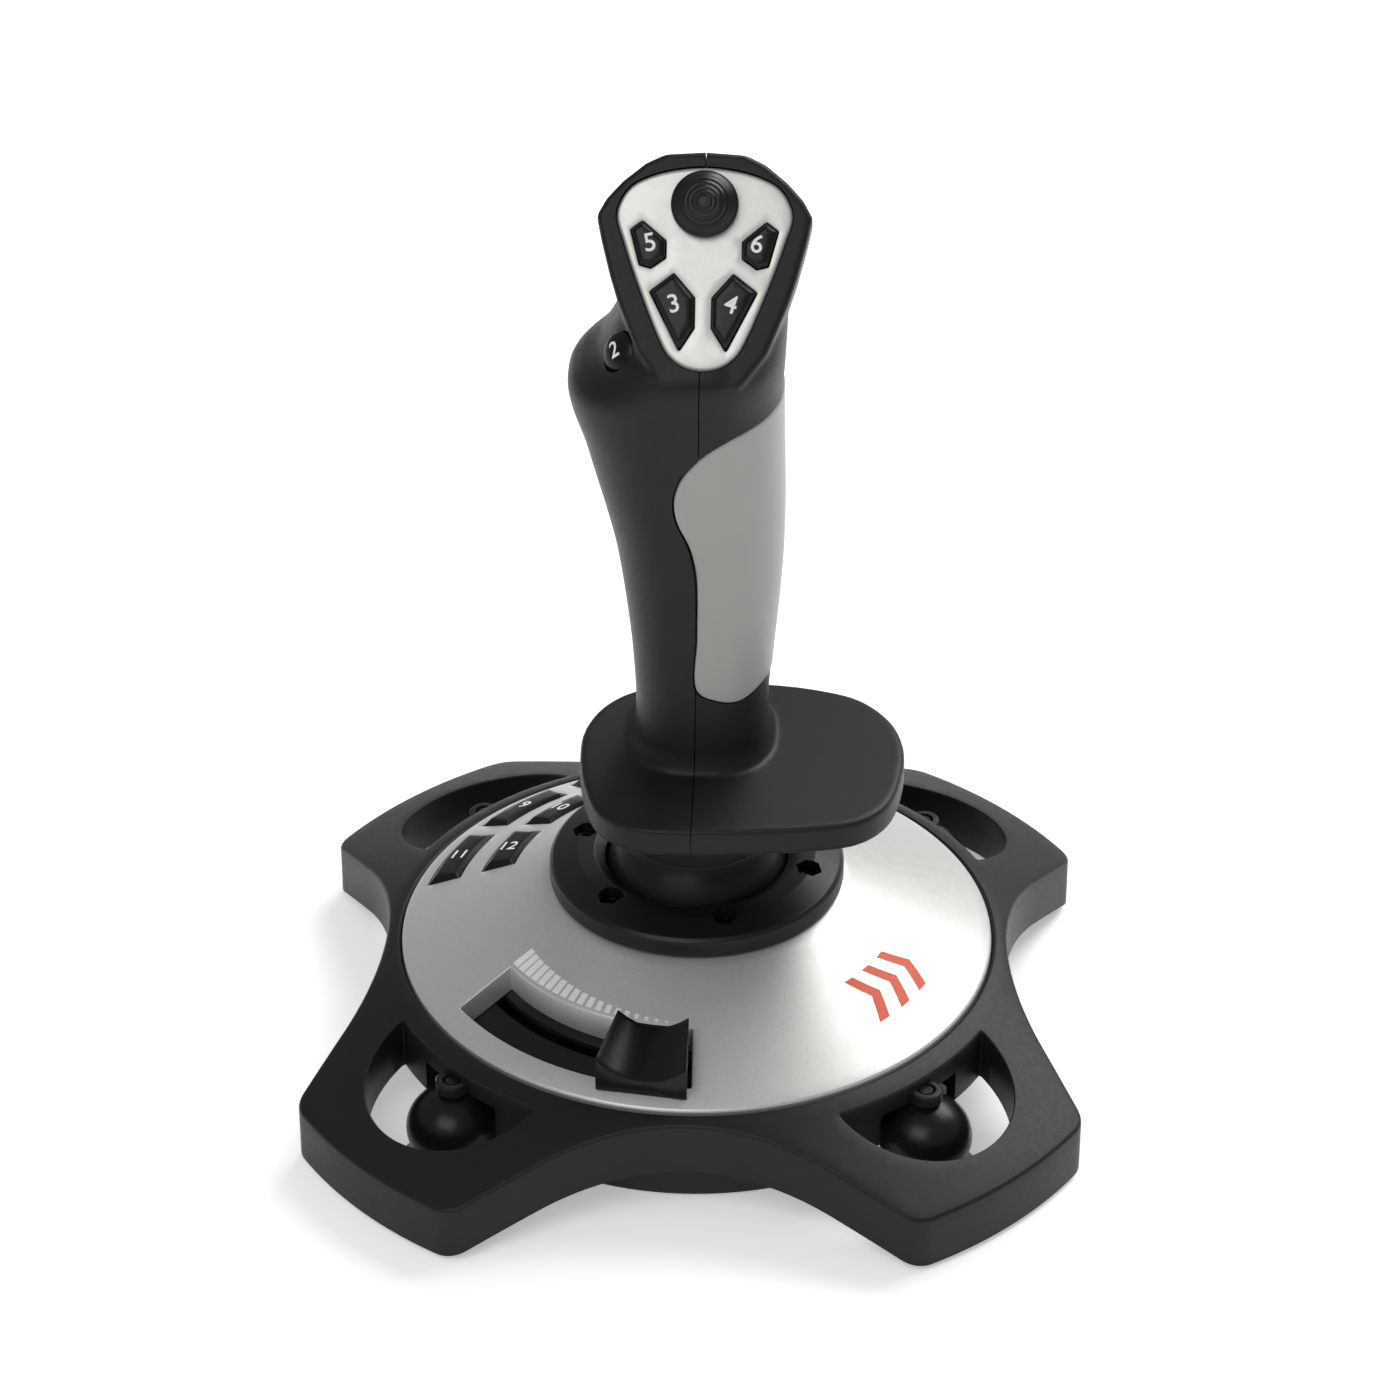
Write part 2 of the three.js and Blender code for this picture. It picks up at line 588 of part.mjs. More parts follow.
// Column sections: height, left, right, user side and far side. The left swells into a thumb ledge.
const COLUMN = [
  [90, -21, 24, -24, 25],
  [97, -21, 24, -24, 25],
  [99, -17.8, 20.8, -20.8, 21.6],
  [103, -16.2, 19.3, -19, 20],
  [110, -15.9, 19, -18.6, 19.6],
  [125, -16.6, 20, -18.9, 19.4],
  [141, -18.1, 21.4, -20.3, 19.5],
  [159, -20.5, 22.5, -22.5, 20],
  [171, -23, 22.7, -24.5, 20.4],
  [180, -25.2, 22.6, -26, 20.8],
  [192, -28.1, 22.4, -28.2, 21.3],
  [209, -32.3, 22.2, -31.3, 22],
  [211.5, -31.3, 22.4, -32, 22.2],
  [218.5, -24, 22.8, -32.9, 22.6],
  [229, -18.4, 23.2, -25.6, 22],
  [238, -15, 18, -17, 19],
];
const COLUMN_SIDES = 24;
const COLUMN_POWER = 2.5;

function columnRing([z, left, right, front, back], grow, sides) {
  const [cx, cy] = [(left + right) / 2, (front + back) / 2];
  const [rx, ry] = [(right - left) / 2 + grow, (back - front) / 2 + grow];
  return Array.from({ length: sides }, (_, i) => {
    const angle = (2 * Math.PI * (i + 0.5)) / sides;
    const bulge = (value) => Math.sign(value) * Math.abs(value) ** (2 / COLUMN_POWER);
    return [cx + rx * bulge(Math.cos(angle)), cy + ry * bulge(Math.sin(angle)), z];
  });
}

function column(grow = 0, sides = COLUMN_SIDES, from = 0, to = COLUMN.length) {
  return loft(COLUMN.slice(from, to).map((section) => columnRing(section, grow, sides)));
}

// Hand rest outline, seen from above: wide to the user's right and towards the user.
const REST = [
  [-17, 20.5], [-25, 13], [-29.6, 2], [-30.4, -9], [-28.6, -25], [-24, -38], [-15, -44.8],
  [0, -46], [14, -45.2], [30, -43.6], [43, -40], [50.5, -32], [54.4, -17], [54.6, -3],
  [51, 8.5], [43, 18], [32, 22.6], [18, 25], [0, 25],
];

function smoothClosed(points, count) {
  const corners = points.map(([x, y]) => new THREE.Vector3(x, y, 0));
  const curve = new THREE.CatmullRomCurve3(corners, true, 'centripetal');
  return curve.getSpacedPoints(count).slice(0, -1).map((p) => [p.x, p.y]);
}

function handRest() {
  const outline = smoothClosed(REST, 30);
  const [cx, cy] = [12, -11];
  const layers = [[REST_LOW_Z, 1.2], [REST_LOW_Z + 1, 0], [REST_TOP_Z - 1, 0], [REST_TOP_Z, 1.3]];
  const rings = layers.map(([z, inset]) => (
    outline.map(([x, y]) => {
      const far = Math.hypot(x - cx, y - cy);
      return [x - ((x - cx) * inset) / far, y - ((y - cy) * inset) / far, z];
    })
  ));
  return loft(rings);
}

// ---------------------------------------------------------------- head

const headFrame = placed(...FACE_CENTRE, FACE_TILT);

// Half outlines in the face frame, from the top down the right side.
const HEAD_HALF = [
  [0, 29.1], [10, 28.4], [14.7, 26.2], [20.3, 21.7], [24.3, 17.3], [26.7, 13], [25.4, 6.9],
  [23.1, -2], [21, -8.6], [16, -21], [9.5, -29.5], [0, -31],
];
const FACE_HALF = [
  [0, 25.2], [6, 24.7], [12.6, 23.2], [18.3, 20.3], [21.2, 15.8], [21.7, 12.6], [20, 6.9],
  [17.7, 0], [14.1, -9.4], [11, -16.8], [8.4, -21.4], [4.5, -24.3], [0, -25.2],
];

function mirroredOutline(half) {
  return [...half, ...half.slice(1, -1).reverse().map(([x, y]) => [-x, y])];
}

function headBody() {
  const outline = mirroredOutline(HEAD_HALF);
  const layers = [[RIM, 0.975, 0], [0, 1, 0], [-12, 1, 0], [-23, 0.93, -1], [-32, 0.78, -3], [-38, 0.52, -5]];
  const rings = layers.map(([z, scale, drop]) => outline.map(([x, y]) => [x * scale, y * scale + drop, z]));
  return loft(rings, headFrame);
}

function faceOutline(grow) {
  return smoothClosed(mirroredOutline(FACE_HALF), 30).map(([x, y]) => {
    const far = Math.hypot(x, y);
    return [x * (1 + grow / far), y * (1 + grow / far)];
  });
}

// Thumb buttons 3 to 6 as outlines of the right-hand ones, and the side they are on.
const LOWER_BUTTON = [[7.3, -0.9], [13.4, -5.6], [5.8, -20.6], [2, -14.6], [2, -7]];
const UPPER_BUTTON = [[15.3, 12], [18.4, 9.7], [16, 0.8], [13, 0], [9.3, 2.6], [9.3, 7]];
const FACE_BUTTONS = [
  ['button_3', LOWER_BUTTON, -1],
  ['button_4', LOWER_BUTTON, 1],
  ['button_5', UPPER_BUTTON, -1],
  ['button_6', UPPER_BUTTON, 1],
];

function shrunk(points, by) {
  const cx = points.reduce((sum, p) => sum + p[0], 0) / points.length;
  const cy = points.reduce((sum, p) => sum + p[1], 0) / points.length;
  return points.map(([x, y]) => {
    const far = Math.hypot(x - cx, y - cy);
    return [x - ((x - cx) * by) / far, y - ((y - cy) * by) / far];
  });
}

function sided(points, side) {
  return points.map(([x, y]) => [x * side, y]);
}

function faceButton(outline, side) {
  const layer = (by, z) => sided(shrunk(outline, by), side).map(([x, y]) => [x, y, z]);
  const cap = loft([layer(0.5, -5.6), layer(0.5, 0.9), layer(1.4, 1.7)]);
  const flange = loft([layer(-0.7, -3.8), layer(-0.7, -2.6)]);
  return union(cap, flange);
}

function facePlate() {
  const blank = prism(faceOutline(0), -FACE_PLATE_THICK, 0);
  const holes = FACE_BUTTONS.map(([, outline, side]) => prism(sided(outline, side), -5, 5));
  return cut(blank, ...holes, rod(4.2, -5, 5, 24, placed(0, HAT_AT, 0)));
}

function hatCap() {
  return turned([[0, -7.6], [2.2, -7.6], [2.2, 1.9], [7.9, 1.9], [8.4, 2.6], [8.2, 4.6], [7.4, 6.3], [5.6, 7.7],
    [3, 8.5], [0, 8.8]], 20);
}

function hatRing() {
  return cut(box(-6, 6, -6, 6, HAT_PIVOT - 1.3, HAT_PIVOT + 1.3), box(-3.3, 3.3, -3.3, 3.3, -12, 0));
}

function headBoard() {
  const board = prism(faceOutline(-3.4), -10.4, -9);
  const switches = FACE_BUTTONS.map(([, outline, side]) => {
    const points = sided(outline, side);
    const cx = points.reduce((sum, p) => sum + p[0], 0) / points.length;
    const cy = points.reduce((sum, p) => sum + p[1], 0) / points.length;
    return box(cx - 2.2, cx + 2.2, cy - 2.2, cy + 2.2, -9.5, -6.9);
  });
  return union(board, ...switches);
}

// ---------------------------------------------------------------- grip shells

const BUTTON_2_AT = [-18.2, -18.8, 222.4];
const BUTTON_2_AXIS = new THREE.Vector3(-0.66, -0.58, 0.47).normalize();
const button2Turn = new THREE.Quaternion().setFromUnitVectors(new THREE.Vector3(0, 0, 1), BUTTON_2_AXIS);
const button2Frame = new THREE.Matrix4()
  .makeRotationFromQuaternion(button2Turn)
  .setPosition(...BUTTON_2_AT);

// Side panel outline in X and Z, seen from the user's side.
const PANEL = [
  [26, 206.5], [21.5, 206], [12.5, 204], [5, 200.2], [1, 196.6], [-3, 190.6], [-4.8, 184], [-4.2, 177.4],
  [-0.9, 168.6], [0.7, 159.6], [0.8, 140], [0.8, 122], [5, 119.4], [11.5, 118.2], [18.5, 121], [26, 123],
];
const PANEL_FRONT_Y = -34;
const PANEL_BACK_Y = 6;

function panelPrism(grow) {
  const outline = smoothClosed(PANEL.slice(1, -1).concat([[30, 123], [30, 206]]), 30);
  const points = outline.map(([x, z]) => [x + (x < 6 ? -grow : 0), z + (z > 160 ? grow : -grow)]);
  return prism(points, -PANEL_BACK_Y - grow, -PANEL_FRONT_Y, placed(0, 0, 0, 90));
}

function sidePanel() {
  const skin = cut(column(0.2, COLUMN_SIDES, 4, 14), column(-PANEL_THICK, COLUMN_SIDES, 3, 15));
  return skin.intersect(panelPrism(0));
}

function panelPocket() {
  const skin = cut(column(5, COLUMN_SIDES, 3, 15), column(-PANEL_THICK - GAP, COLUMN_SIDES, 3, 15));
  return skin.intersect(panelPrism(GAP));
}

const GRIP_SCREWS = [[12, 128], [10, 196]];
const SCREW_HEAD_X = 12;

function grip() {
  const faceTrim = box(-60, 60, -60, 60, RIM, 60, headFrame);
  const outside = cut(union(column(), headBody(), handRest()), faceTrim);
  const bosses = GRIP_SCREWS.map(([y, z]) => rod(3.6, -30, 30, 16, placed(0, y, z, 0, 90)));
  const head = union(
    prism(faceOutline(-1), -7, 5, headFrame),
    prism(faceOutline(-2.6), -HEAD_CAVITY, -6, headFrame)
  );
  const room = column(-GRIP_WALL, 12, 4, 15).intersect(box(-50, 50, -23, 50, 112, 240));
  const cavity = cut(room, ...bosses);
  const lower = rod(11, 93, 113, 24);
  const plateSeat = prism(faceOutline(GAP), -FACE_PLATE_THICK - GAP, 6, headFrame);
  const bore = rod(SHAFT_RADIUS + RUNNING, 80, 100, 24);
  const half = TRIGGER_HALF_WIDTH + 0.5;
  const trigger = box(-half, half, 9, 60, 199, 238.5, placed(seamX(218), 0, 0));
  const button2 = rod(5.5, -6, 20, 24, button2Frame);
  const recesses = GRIP_SCREWS.flatMap(([y, z]) => [
    rod(3.1, SCREW_HEAD_X - 2, 40, 16, placed(0, y, z, 0, 90)),
    rod(1.6, -12, 40, 12, placed(0, y, z, 0, 90)),
  ]);
  const pin = rod(1.5 + RUNNING, -10, 10, 16, placed(seamX(233), ...TRIGGER_PIVOT, 0, 90));
  const openings = [cavity, lower, head, plateSeat, bore, trigger, button2, panelPocket(), pin];
  return cut(outside, ...openings, ...recesses);
}

function seamHalf(side) {
  const lean = Math.atan(LEAN) / DEG;
  const far = side * 80;
  const [low, high] = [far, side * 0.12].sort((a, b) => a - b);
  return box(low, high, -90, 90, -40, 200, placed(0, 0, REST_TOP_Z, 0, lean));
}

// ---------------------------------------------------------------- trigger

function trigger() {
  const profile = [
    [16.5, 237.5], [21, 238.4], [25, 235], [27.6, 229], [28.2, 222], [28.2, 214], [29.4, 207],
    [32.6, 201.4], [31.4, 198.6], [28.6, 199.6], [25, 205], [23.6, 212], [22.4, 220], [17, 226],
    [15, 232],
  ];
  const shape = new THREE.Shape(smoothClosed(profile, 40).map(([y, z]) => new THREE.Vector2(y, z)));
  const geometry = new THREE.ExtrudeGeometry(shape, { depth: 2 * TRIGGER_HALF_WIDTH, bevelEnabled: false });
  const side = seamX(218) - TRIGGER_HALF_WIDTH;
  const standing = new THREE.Matrix4().set(0, 0, 1, side, 1, 0, 0, 0, 0, 1, 0, 0, 0, 0, 0, 1);
  const hole = rod(1.5 + RUNNING, -20, 20, 16, placed(seamX(233), ...TRIGGER_PIVOT, 0, 90));
  return cut(solid(geometry, standing), hole);
}

// ---------------------------------------------------------------- assembly

function buildBase() {
  const group = new THREE.Group();
  group.add(node('base_shell', baseShell(), blackPlastic));
  group.add(node('bottom_cover', bottomCover(), blackPlastic));
  group.add(node('top_plate', topPlate(), silverPaint));
  group.add(node('hub_ring', hubRing(), blackPlastic));
  group.add(node('main_board', mainBoard(), circuitBoard));
  group.add(node('key_board', keyBoard(), circuitBoard));
  group.add(node('gimbal_housing', gimbalHousing(), innerPlastic));
  group.add(node('throttle_track', throttleTrack(), blackPlastic));
  group.add(node('throttle_sensor', throttleSensor(), circuitBoard));
  group.add(node('tilt_sensor_board', box(-8, 8, -8, 8, 27, 28.6), circuitBoard));
  const inlet = node('cable_inlet', cableInlet(), blackRubber);
  inlet.position.z = CABLE_INLET_Z;
  group.add(inlet);
  const pitchSpring = roundSpring(3, 0.35, 2.6, 0.9, placed(11.6, 0, PIVOT_Z, 0, 90));
  group.add(node('pitch_spring', pitchSpring, steel));
  copiesAt(group, 'hub_screw', hubScrew(), steel, hubScrewPlaces());
  copiesAt(group, 'cover_screw', coverScrew(), steel, coverScrewPlaces());
  const cups = LOBE_ANGLES.map((angle) => [...polar(CUP_AT, angle), angle]);
  copiesAt(group, 'suction_cup', suctionCup(), blackRubber, cups);
  return group;
}

function buildKeys() {
  const group = new THREE.Group();
  everyKey((row, angle) => [row, angle]).forEach(([row, angle], i) => {
    group.add(node(`button_${i + 7}`, baseKey(row, angle), keyPlastic));
  });
  return group;
}

function buildThrottle() {
  const group = new THREE.Group();
  group.add(node('throttle_arm', throttleArm(), innerPlastic));
  group.add(node('throttle_knob', throttleKnob(), keyPlastic));
  return group;
}

function buildStick() {
  const group = new THREE.Group();
  group.add(node('pitch_cradle', pitchCradle(), innerPlastic));
  group.add(node('roll_spring', roundSpring(3, 0.35, 2.6, 0.9, placed(0, 6.8, PIVOT_Z, -90)), steel));
  group.add(node('roll_block', rollBlock(), innerPlastic));
  group.add(node('stick_shaft', rod(SHAFT_RADIUS, 38.4, SHAFT_TOP_Z, 24), steel));
  group.add(node('tilt_magnet', rod(2.6, 35.6, 38.1, 20), steel));
  group.add(node('pivot_dome', pivotDome(), blackPlastic));
  group.add(node('twist_spring', roundSpring(6.2, 0.5, 3, 2.1, placed(0, 0, 99)), steel));
  return group;
}

function buildGrip() {
  const group = new THREE.Group();
  const whole = grip();
  group.add(node('grip_left', whole.intersect(seamHalf(-1)), blackPlastic));
  group.add(node('grip_right', whole.intersect(seamHalf(1)), blackPlastic));
  group.add(node('side_panel', sidePanel(), greyRubber));
  group.add(node('trigger', trigger(), keyPlastic));
  const pin = rod(1.5, -9, 9, 16, placed(seamX(233), ...TRIGGER_PIVOT, 0, 90));
  group.add(node('trigger_pin', pin, steel));
  const triggerSwitch = box(-3.2, 3.2, 8, 17, 206, 218, placed(seamX(212), 0, 0));
  group.add(node('trigger_switch', triggerSwitch, innerPlastic));
  const triggerSpring = roundSpring(2, 0.3, 3, 1.4, placed(seamX(223), 12.6, 223, -90));
  group.add(node('trigger_spring', triggerSpring, steel));
  group.add(node('twist_sensor', rod(8, SHAFT_TOP_Z + 1, SHAFT_TOP_Z + 6, 24), innerPlastic));
  GRIP_SCREWS.forEach(([y, z], i) => {
    const head = rod(2.7, SCREW_HEAD_X - 1.7, SCREW_HEAD_X + 0.6, 16);
    const screw = union(head, rod(1.25, -10, SCREW_HEAD_X, 12));
    const mesh = node(`grip_screw_${i + 1}`, screw, steel);
    mesh.position.set(0, y, z);
    mesh.rotation.y = 90 * DEG;
    group.add(mesh);
  });
  const profile = [[0, -5], [5.1, -5], [5.1, 0.4], [4.3, 1.3], [2.4, 1.9], [0, 2.1]];
  const button2 = turned(profile, 28, button2Frame);
  group.add(node('button_2', button2, keyPlastic));
  return group;
}

function buildHead() {
  const group = new THREE.Group();
  group.position.set(...FACE_CENTRE);
  group.rotation.x = FACE_TILT * DEG;
  group.add(node('face_plate', facePlate(), whiteSilver));
  group.add(node('head_board', headBoard(), circuitBoard));
  FACE_BUTTONS.forEach(([name, outline, side]) => {
    group.add(node(name, faceButton(outline, side), keyPlastic));
  });
  const hat = [node('hat_ring', hatRing(), innerPlastic), node('hat_cap', hatCap(), blackRubber)];
  hat.forEach((mesh) => {
    mesh.position.y = HAT_AT;
    group.add(mesh);
  });
  return group;
}

const joystick = new THREE.Group();
joystick.add(buildBase(), buildKeys(), buildThrottle(), buildStick(), buildGrip(), buildHead());

export default joystick;
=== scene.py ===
"""Looks of a desktop flight joystick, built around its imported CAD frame.

Sizes are in millimetres and turn into metres where a mesh is made. +Z is up, the user sits on the
-Y side, and +X is the user's right.
"""

import json
import math
from functools import partial
from itertools import product

import bpy
import numpy as np
from mathutils import Matrix, Vector
from mathutils.geometry import delaunay_2d_cdt
from mathutils.kdtree import KDTree


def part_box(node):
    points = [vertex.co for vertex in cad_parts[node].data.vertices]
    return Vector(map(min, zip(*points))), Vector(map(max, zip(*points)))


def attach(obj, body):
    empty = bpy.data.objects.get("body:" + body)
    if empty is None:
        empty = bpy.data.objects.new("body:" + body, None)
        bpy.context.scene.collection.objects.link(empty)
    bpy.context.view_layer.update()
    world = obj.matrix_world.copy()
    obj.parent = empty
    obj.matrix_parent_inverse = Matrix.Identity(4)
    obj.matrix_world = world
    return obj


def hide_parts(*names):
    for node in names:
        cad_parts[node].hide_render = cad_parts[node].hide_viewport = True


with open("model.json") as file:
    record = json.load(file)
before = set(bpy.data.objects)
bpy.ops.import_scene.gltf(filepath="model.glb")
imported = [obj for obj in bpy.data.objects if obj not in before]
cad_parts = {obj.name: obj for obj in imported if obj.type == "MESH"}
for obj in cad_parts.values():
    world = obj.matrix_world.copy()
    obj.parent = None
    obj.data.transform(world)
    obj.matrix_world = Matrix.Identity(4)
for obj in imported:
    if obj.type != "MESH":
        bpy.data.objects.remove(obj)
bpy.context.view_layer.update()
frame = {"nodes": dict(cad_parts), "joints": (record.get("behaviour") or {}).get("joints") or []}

MM = 0.001
SHARP_ANGLE = math.radians(38)
LOBE_ANGLES = (45, 135, 225, 315)


def node_box(node):
    """A CAD node's lowest and highest corners, in millimetres."""
    low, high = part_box(node)
    return np.array(low) / MM, np.array(high) / MM


def node_middle(node):
    low, high = node_box(node)
    return (low + high) / 2


def joint_named(name):
    return next(joint for joint in frame["joints"] if joint["name"] == name)


# ------------------------------------------------------------------------- outlines


def polar(radius, degrees):
    angle = np.radians(degrees)
    return np.stack([radius * np.cos(angle), radius * np.sin(angle)], axis=-1)


def arc(radius, start, end, step=2.0, centre=(0, 0)):
    """Points of an arc, about one step apart."""
    count = max(2, math.ceil(abs(math.radians(end - start)) * radius / step))
    return polar(radius, np.linspace(start, end, count + 1)) + np.array(centre)


def circle(radius, step, centre=(0, 0)):
    return arc(radius, 0, 360, step, centre)[:-1]


def offset_loop(points, distance):
    """A closed counterclockwise loop, moved outwards."""
    ahead = np.roll(points, -1, axis=0) - points
    ahead /= np.linalg.norm(ahead, axis=1)[:, None]
    behind = np.roll(ahead, 1, axis=0)
    first = np.stack([behind[:, 1], -behind[:, 0]], axis=1)
    second = np.stack([ahead[:, 1], -ahead[:, 0]], axis=1)
    mitre = (first + second) / np.maximum(0.3, 1 + np.sum(first * second, axis=1))[:, None]
    return points + distance * mitre


def counterclockwise(points):
    points = np.array(points, float)
    x, y = points[:, 0], points[:, 1]
    area = np.sum(x * np.roll(y, -1) - y * np.roll(x, -1))
    return points if area > 0 else points[::-1]


def rounded(points, radius, closed=True, steps=4):
    """A polyline with its corners turned into arcs of one radius, or smaller where edges are short."""
    points = np.array(points, float)
    count = len(points)
    result = []
    for i in range(count):
        corner = points[i]
        if not closed and i in (0, count - 1):
            result.append(corner)
            continue
        before, after = points[i - 1] - corner, points[(i + 1) % count] - corner
        reach = [np.linalg.norm(before), np.linalg.norm(after)]
        before, after = before / reach[0], after / reach[1]
        half = math.acos(np.clip(before @ after, -1, 1)) / 2
        if half > math.radians(88):
            result.append(corner)
            continue
        along = min(radius / math.tan(half), 0.45 * min(reach))
        start, end = corner + before * along, corner + after * along
        for k in range(steps + 1):
            t = k / steps
            result.append((1 - t) ** 2 * start + 2 * t * (1 - t) * corner + t * t * end)
    return np.array(result)


def densified(points, step, closed=True):
    """The same outline with no edge longer than a step."""
    result = []
    count = len(points) if closed else len(points) - 1
    for i in range(count):
        a, b = points[i], points[(i + 1) % len(points)]
        parts = max(1, math.ceil(np.linalg.norm(b - a) / step))
        result.extend(a + (b - a) * k / parts for k in range(parts))
    if not closed:
        result.append(points[-1])
    return np.array(result)


def smooth_loop(points, step):
    """A closed centripetal Catmull-Rom curve through the points, resampled evenly."""
    points = np.array(points, float)
    count = len(points)
    fine = []
    for i in range(count):
        p = [points[(i + k) % count] for k in (-1, 0, 1, 2)]
        t = [0.0]
        for k in range(3):
            t.append(t[-1] + math.sqrt(np.linalg.norm(p[k + 1] - p[k])))
        for s in np.linspace(t[1], t[2], 12, endpoint=False):
            a = [((t[k + 1] - s) * p[k] + (s - t[k]) * p[k + 1]) / (t[k + 1] - t[k]) for k in range(3)]
            b = [((t[k + 2] - s) * a[k] + (s - t[k]) * a[k + 1]) / (t[k + 2] - t[k]) for k in range(2)]
            fine.append(((t[2] - s) * b[0] + (s - t[1]) * b[1]) / (t[2] - t[1]))
    fine = np.array(fine + [fine[0]])
    along = np.concatenate([[0], np.cumsum(np.linalg.norm(np.diff(fine, axis=0), axis=1))])
    where = np.linspace(0, along[-1], max(8, round(along[-1] / step)), endpoint=False)
    return np.stack([np.interp(where, along, fine[:, k]) for k in (0, 1)], axis=1)


def mirrored(half):
    """A whole outline from the points of its right half, which starts and ends on the axis."""
    return list(half) + [(-x, y) for x, y in reversed(half[1:-1])]


def sector(r0, r1, start, end, corner, step):
    """A sector of a flat ring with rounded corners."""
    count = math.ceil(math.radians(end - start) * r1 / step)
    turn = np.linspace(start, end, count + 1)
    outline = np.concatenate([polar(r1, turn), polar(r0, turn[::-1])])
    return counterclockwise(rounded(outline, corner))


def inside(points, loop):
    """Which points lie inside a closed loop."""
    x, y = points[:, 0][:, None], points[:, 1][:, None]
    a, b = loop, np.roll(loop, -1, axis=0)
    spans = (a[:, 1] > y) != (b[:, 1] > y)
    rise = np.where(b[:, 1] == a[:, 1], 1, b[:, 1] - a[:, 1])
    crossing = a[:, 0] + (y - a[:, 1]) / rise * (b[:, 0] - a[:, 0])
    return np.sum(spans & (x < crossing), axis=1) % 2 == 1


# ------------------------------------------------------------------------- meshes


def handed_in(piece, body, node):
    """The piece rides on a body and stands for a CAD node."""
    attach(piece, body)
    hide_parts(node)


def make_object(name, vertices, faces, material, smooth=True):
    """A mesh object from vertices in millimetres."""
    mesh = bpy.data.meshes.new(name)
    mesh.from_pydata((np.array(vertices, float) * MM).tolist(), [], [list(map(int, f)) for f in faces])
    mesh.validate()
    mesh.update()
    piece = bpy.data.objects.new(name, mesh)
    bpy.context.scene.collection.objects.link(piece)
    if material:
        mesh.materials.append(material)
    if smooth:
        smooth_shaded(piece)
    return piece


def smooth_shaded(piece):
    piece.data.shade_smooth()
    piece.data.set_sharp_from_angle(angle=SHARP_ANGLE)


def settled(piece):
    """The piece with its modifiers made part of its mesh."""
    graph = bpy.context.evaluated_depsgraph_get()
    mesh = bpy.data.meshes.new_from_object(piece.evaluated_get(graph))
    old = piece.data
    piece.modifiers.clear()
    piece.data = mesh
    bpy.data.meshes.remove(old)
    mesh.name = piece.name


def removed(piece):
    mesh = piece.data
    bpy.data.objects.remove(piece)
    bpy.data.meshes.remove(mesh)


def with_boolean(piece, cutter, operation="DIFFERENCE"):
    modifier = piece.modifiers.new("cut", "BOOLEAN")
    modifier.operation = operation
    modifier.solver = "MANIFOLD"
    modifier.object = cutter
    settled(piece)
    removed(cutter)
    return piece


def dressed(piece, material):
    """One material all over, after cutters have left slots of their own."""
    piece.data.materials.clear()
    piece.data.materials.append(material)
    piece.data.polygons.foreach_set("material_index", [0] * len(piece.data.polygons))


def bevelled(piece, width, segments, angle):
    modifier = piece.modifiers.new("bevel", "BEVEL")
    modifier.width = width * MM
    modifier.segments = segments
    modifier.limit_method = "ANGLE"
    modifier.angle_limit = math.radians(angle)
    settled(piece)
    smooth_shaded(piece)


SLIVER = 1e-7


def region_triangles(loops, spare):
    """Triangles between an outer loop and the holes in it, over the loops' points and the spare ones.
    Slivers without area, between points in a row on a straight edge, are left out."""
    points = np.concatenate([*loops, spare]) if len(spare) else np.concatenate(loops)
    edges, start = [], 0
    for loop in loops:
        edges += [(start + i, start + (i + 1) % len(loop)) for i in range(len(loop))]
        start += len(loop)
    found = delaunay_2d_cdt([Vector(p) for p in points], edges, [], 0, 1e-6, True)
    origin = [ids[0] for ids in found[3]]
    triangles = np.array([[origin[i] for i in face] for face in found[2]])
    corners = points[triangles]
    middles = corners.mean(axis=1)
    along, across = corners[:, 1] - corners[:, 0], corners[:, 2] - corners[:, 0]
    doubled = np.abs(along[:, 0] * across[:, 1] - along[:, 1] * across[:, 0])
    kept = inside(middles, loops[0]) & (doubled > SLIVER)
    for hole in loops[1:]:
        kept &= ~inside(middles, hole)
    return triangles[kept]


def spare_points(loops, grid, step):
    """Grid points inside the region that keep clear of its edges."""
    grid = grid[inside(grid, loops[0])]
    for hole in loops[1:]:
        grid = grid[~inside(grid, hole)]
    edge = densified(loops[0], step)
    for hole in loops[1:]:
        edge = np.concatenate([edge, densified(hole, step)])
    tree = KDTree(len(edge))
    for i, (x, y) in enumerate(edge):
        tree.insert((x, y, 0), i)
    tree.balance()
    clear = [tree.find((x, y, 0))[2] > 0.62 * step for x, y in grid]
    return grid[np.array(clear, bool)]


def hex_grid(low, high, step):
    rows = np.arange(low[1], high[1], step * 0.866)
    points = [
        (x, y)
        for i, y in enumerate(rows)
        for x in np.arange(low[0] + (i % 2) * step / 2, high[0], step)
    ]
    return np.array(points, float).reshape(-1, 2)


def polar_grid(r0, r1, radial, count):
    rings = np.linspace(r0, r1, max(2, round((r1 - r0) / radial)) + 1)
    return np.concatenate([
        polar(r, (np.arange(count) + 0.5 * (i % 2)) * 360 / count) for i, r in enumerate(rings)
    ])


def round_over(radius, steps=4):
    """A quarter-round edge as [out, drop] pairs, from the flat to the wall."""
    turn = np.linspace(90, 0, steps + 1)
    return [
        (-radius * (1 - math.cos(math.radians(t))), radius * (1 - math.sin(math.radians(t)))) for t in turn
    ]


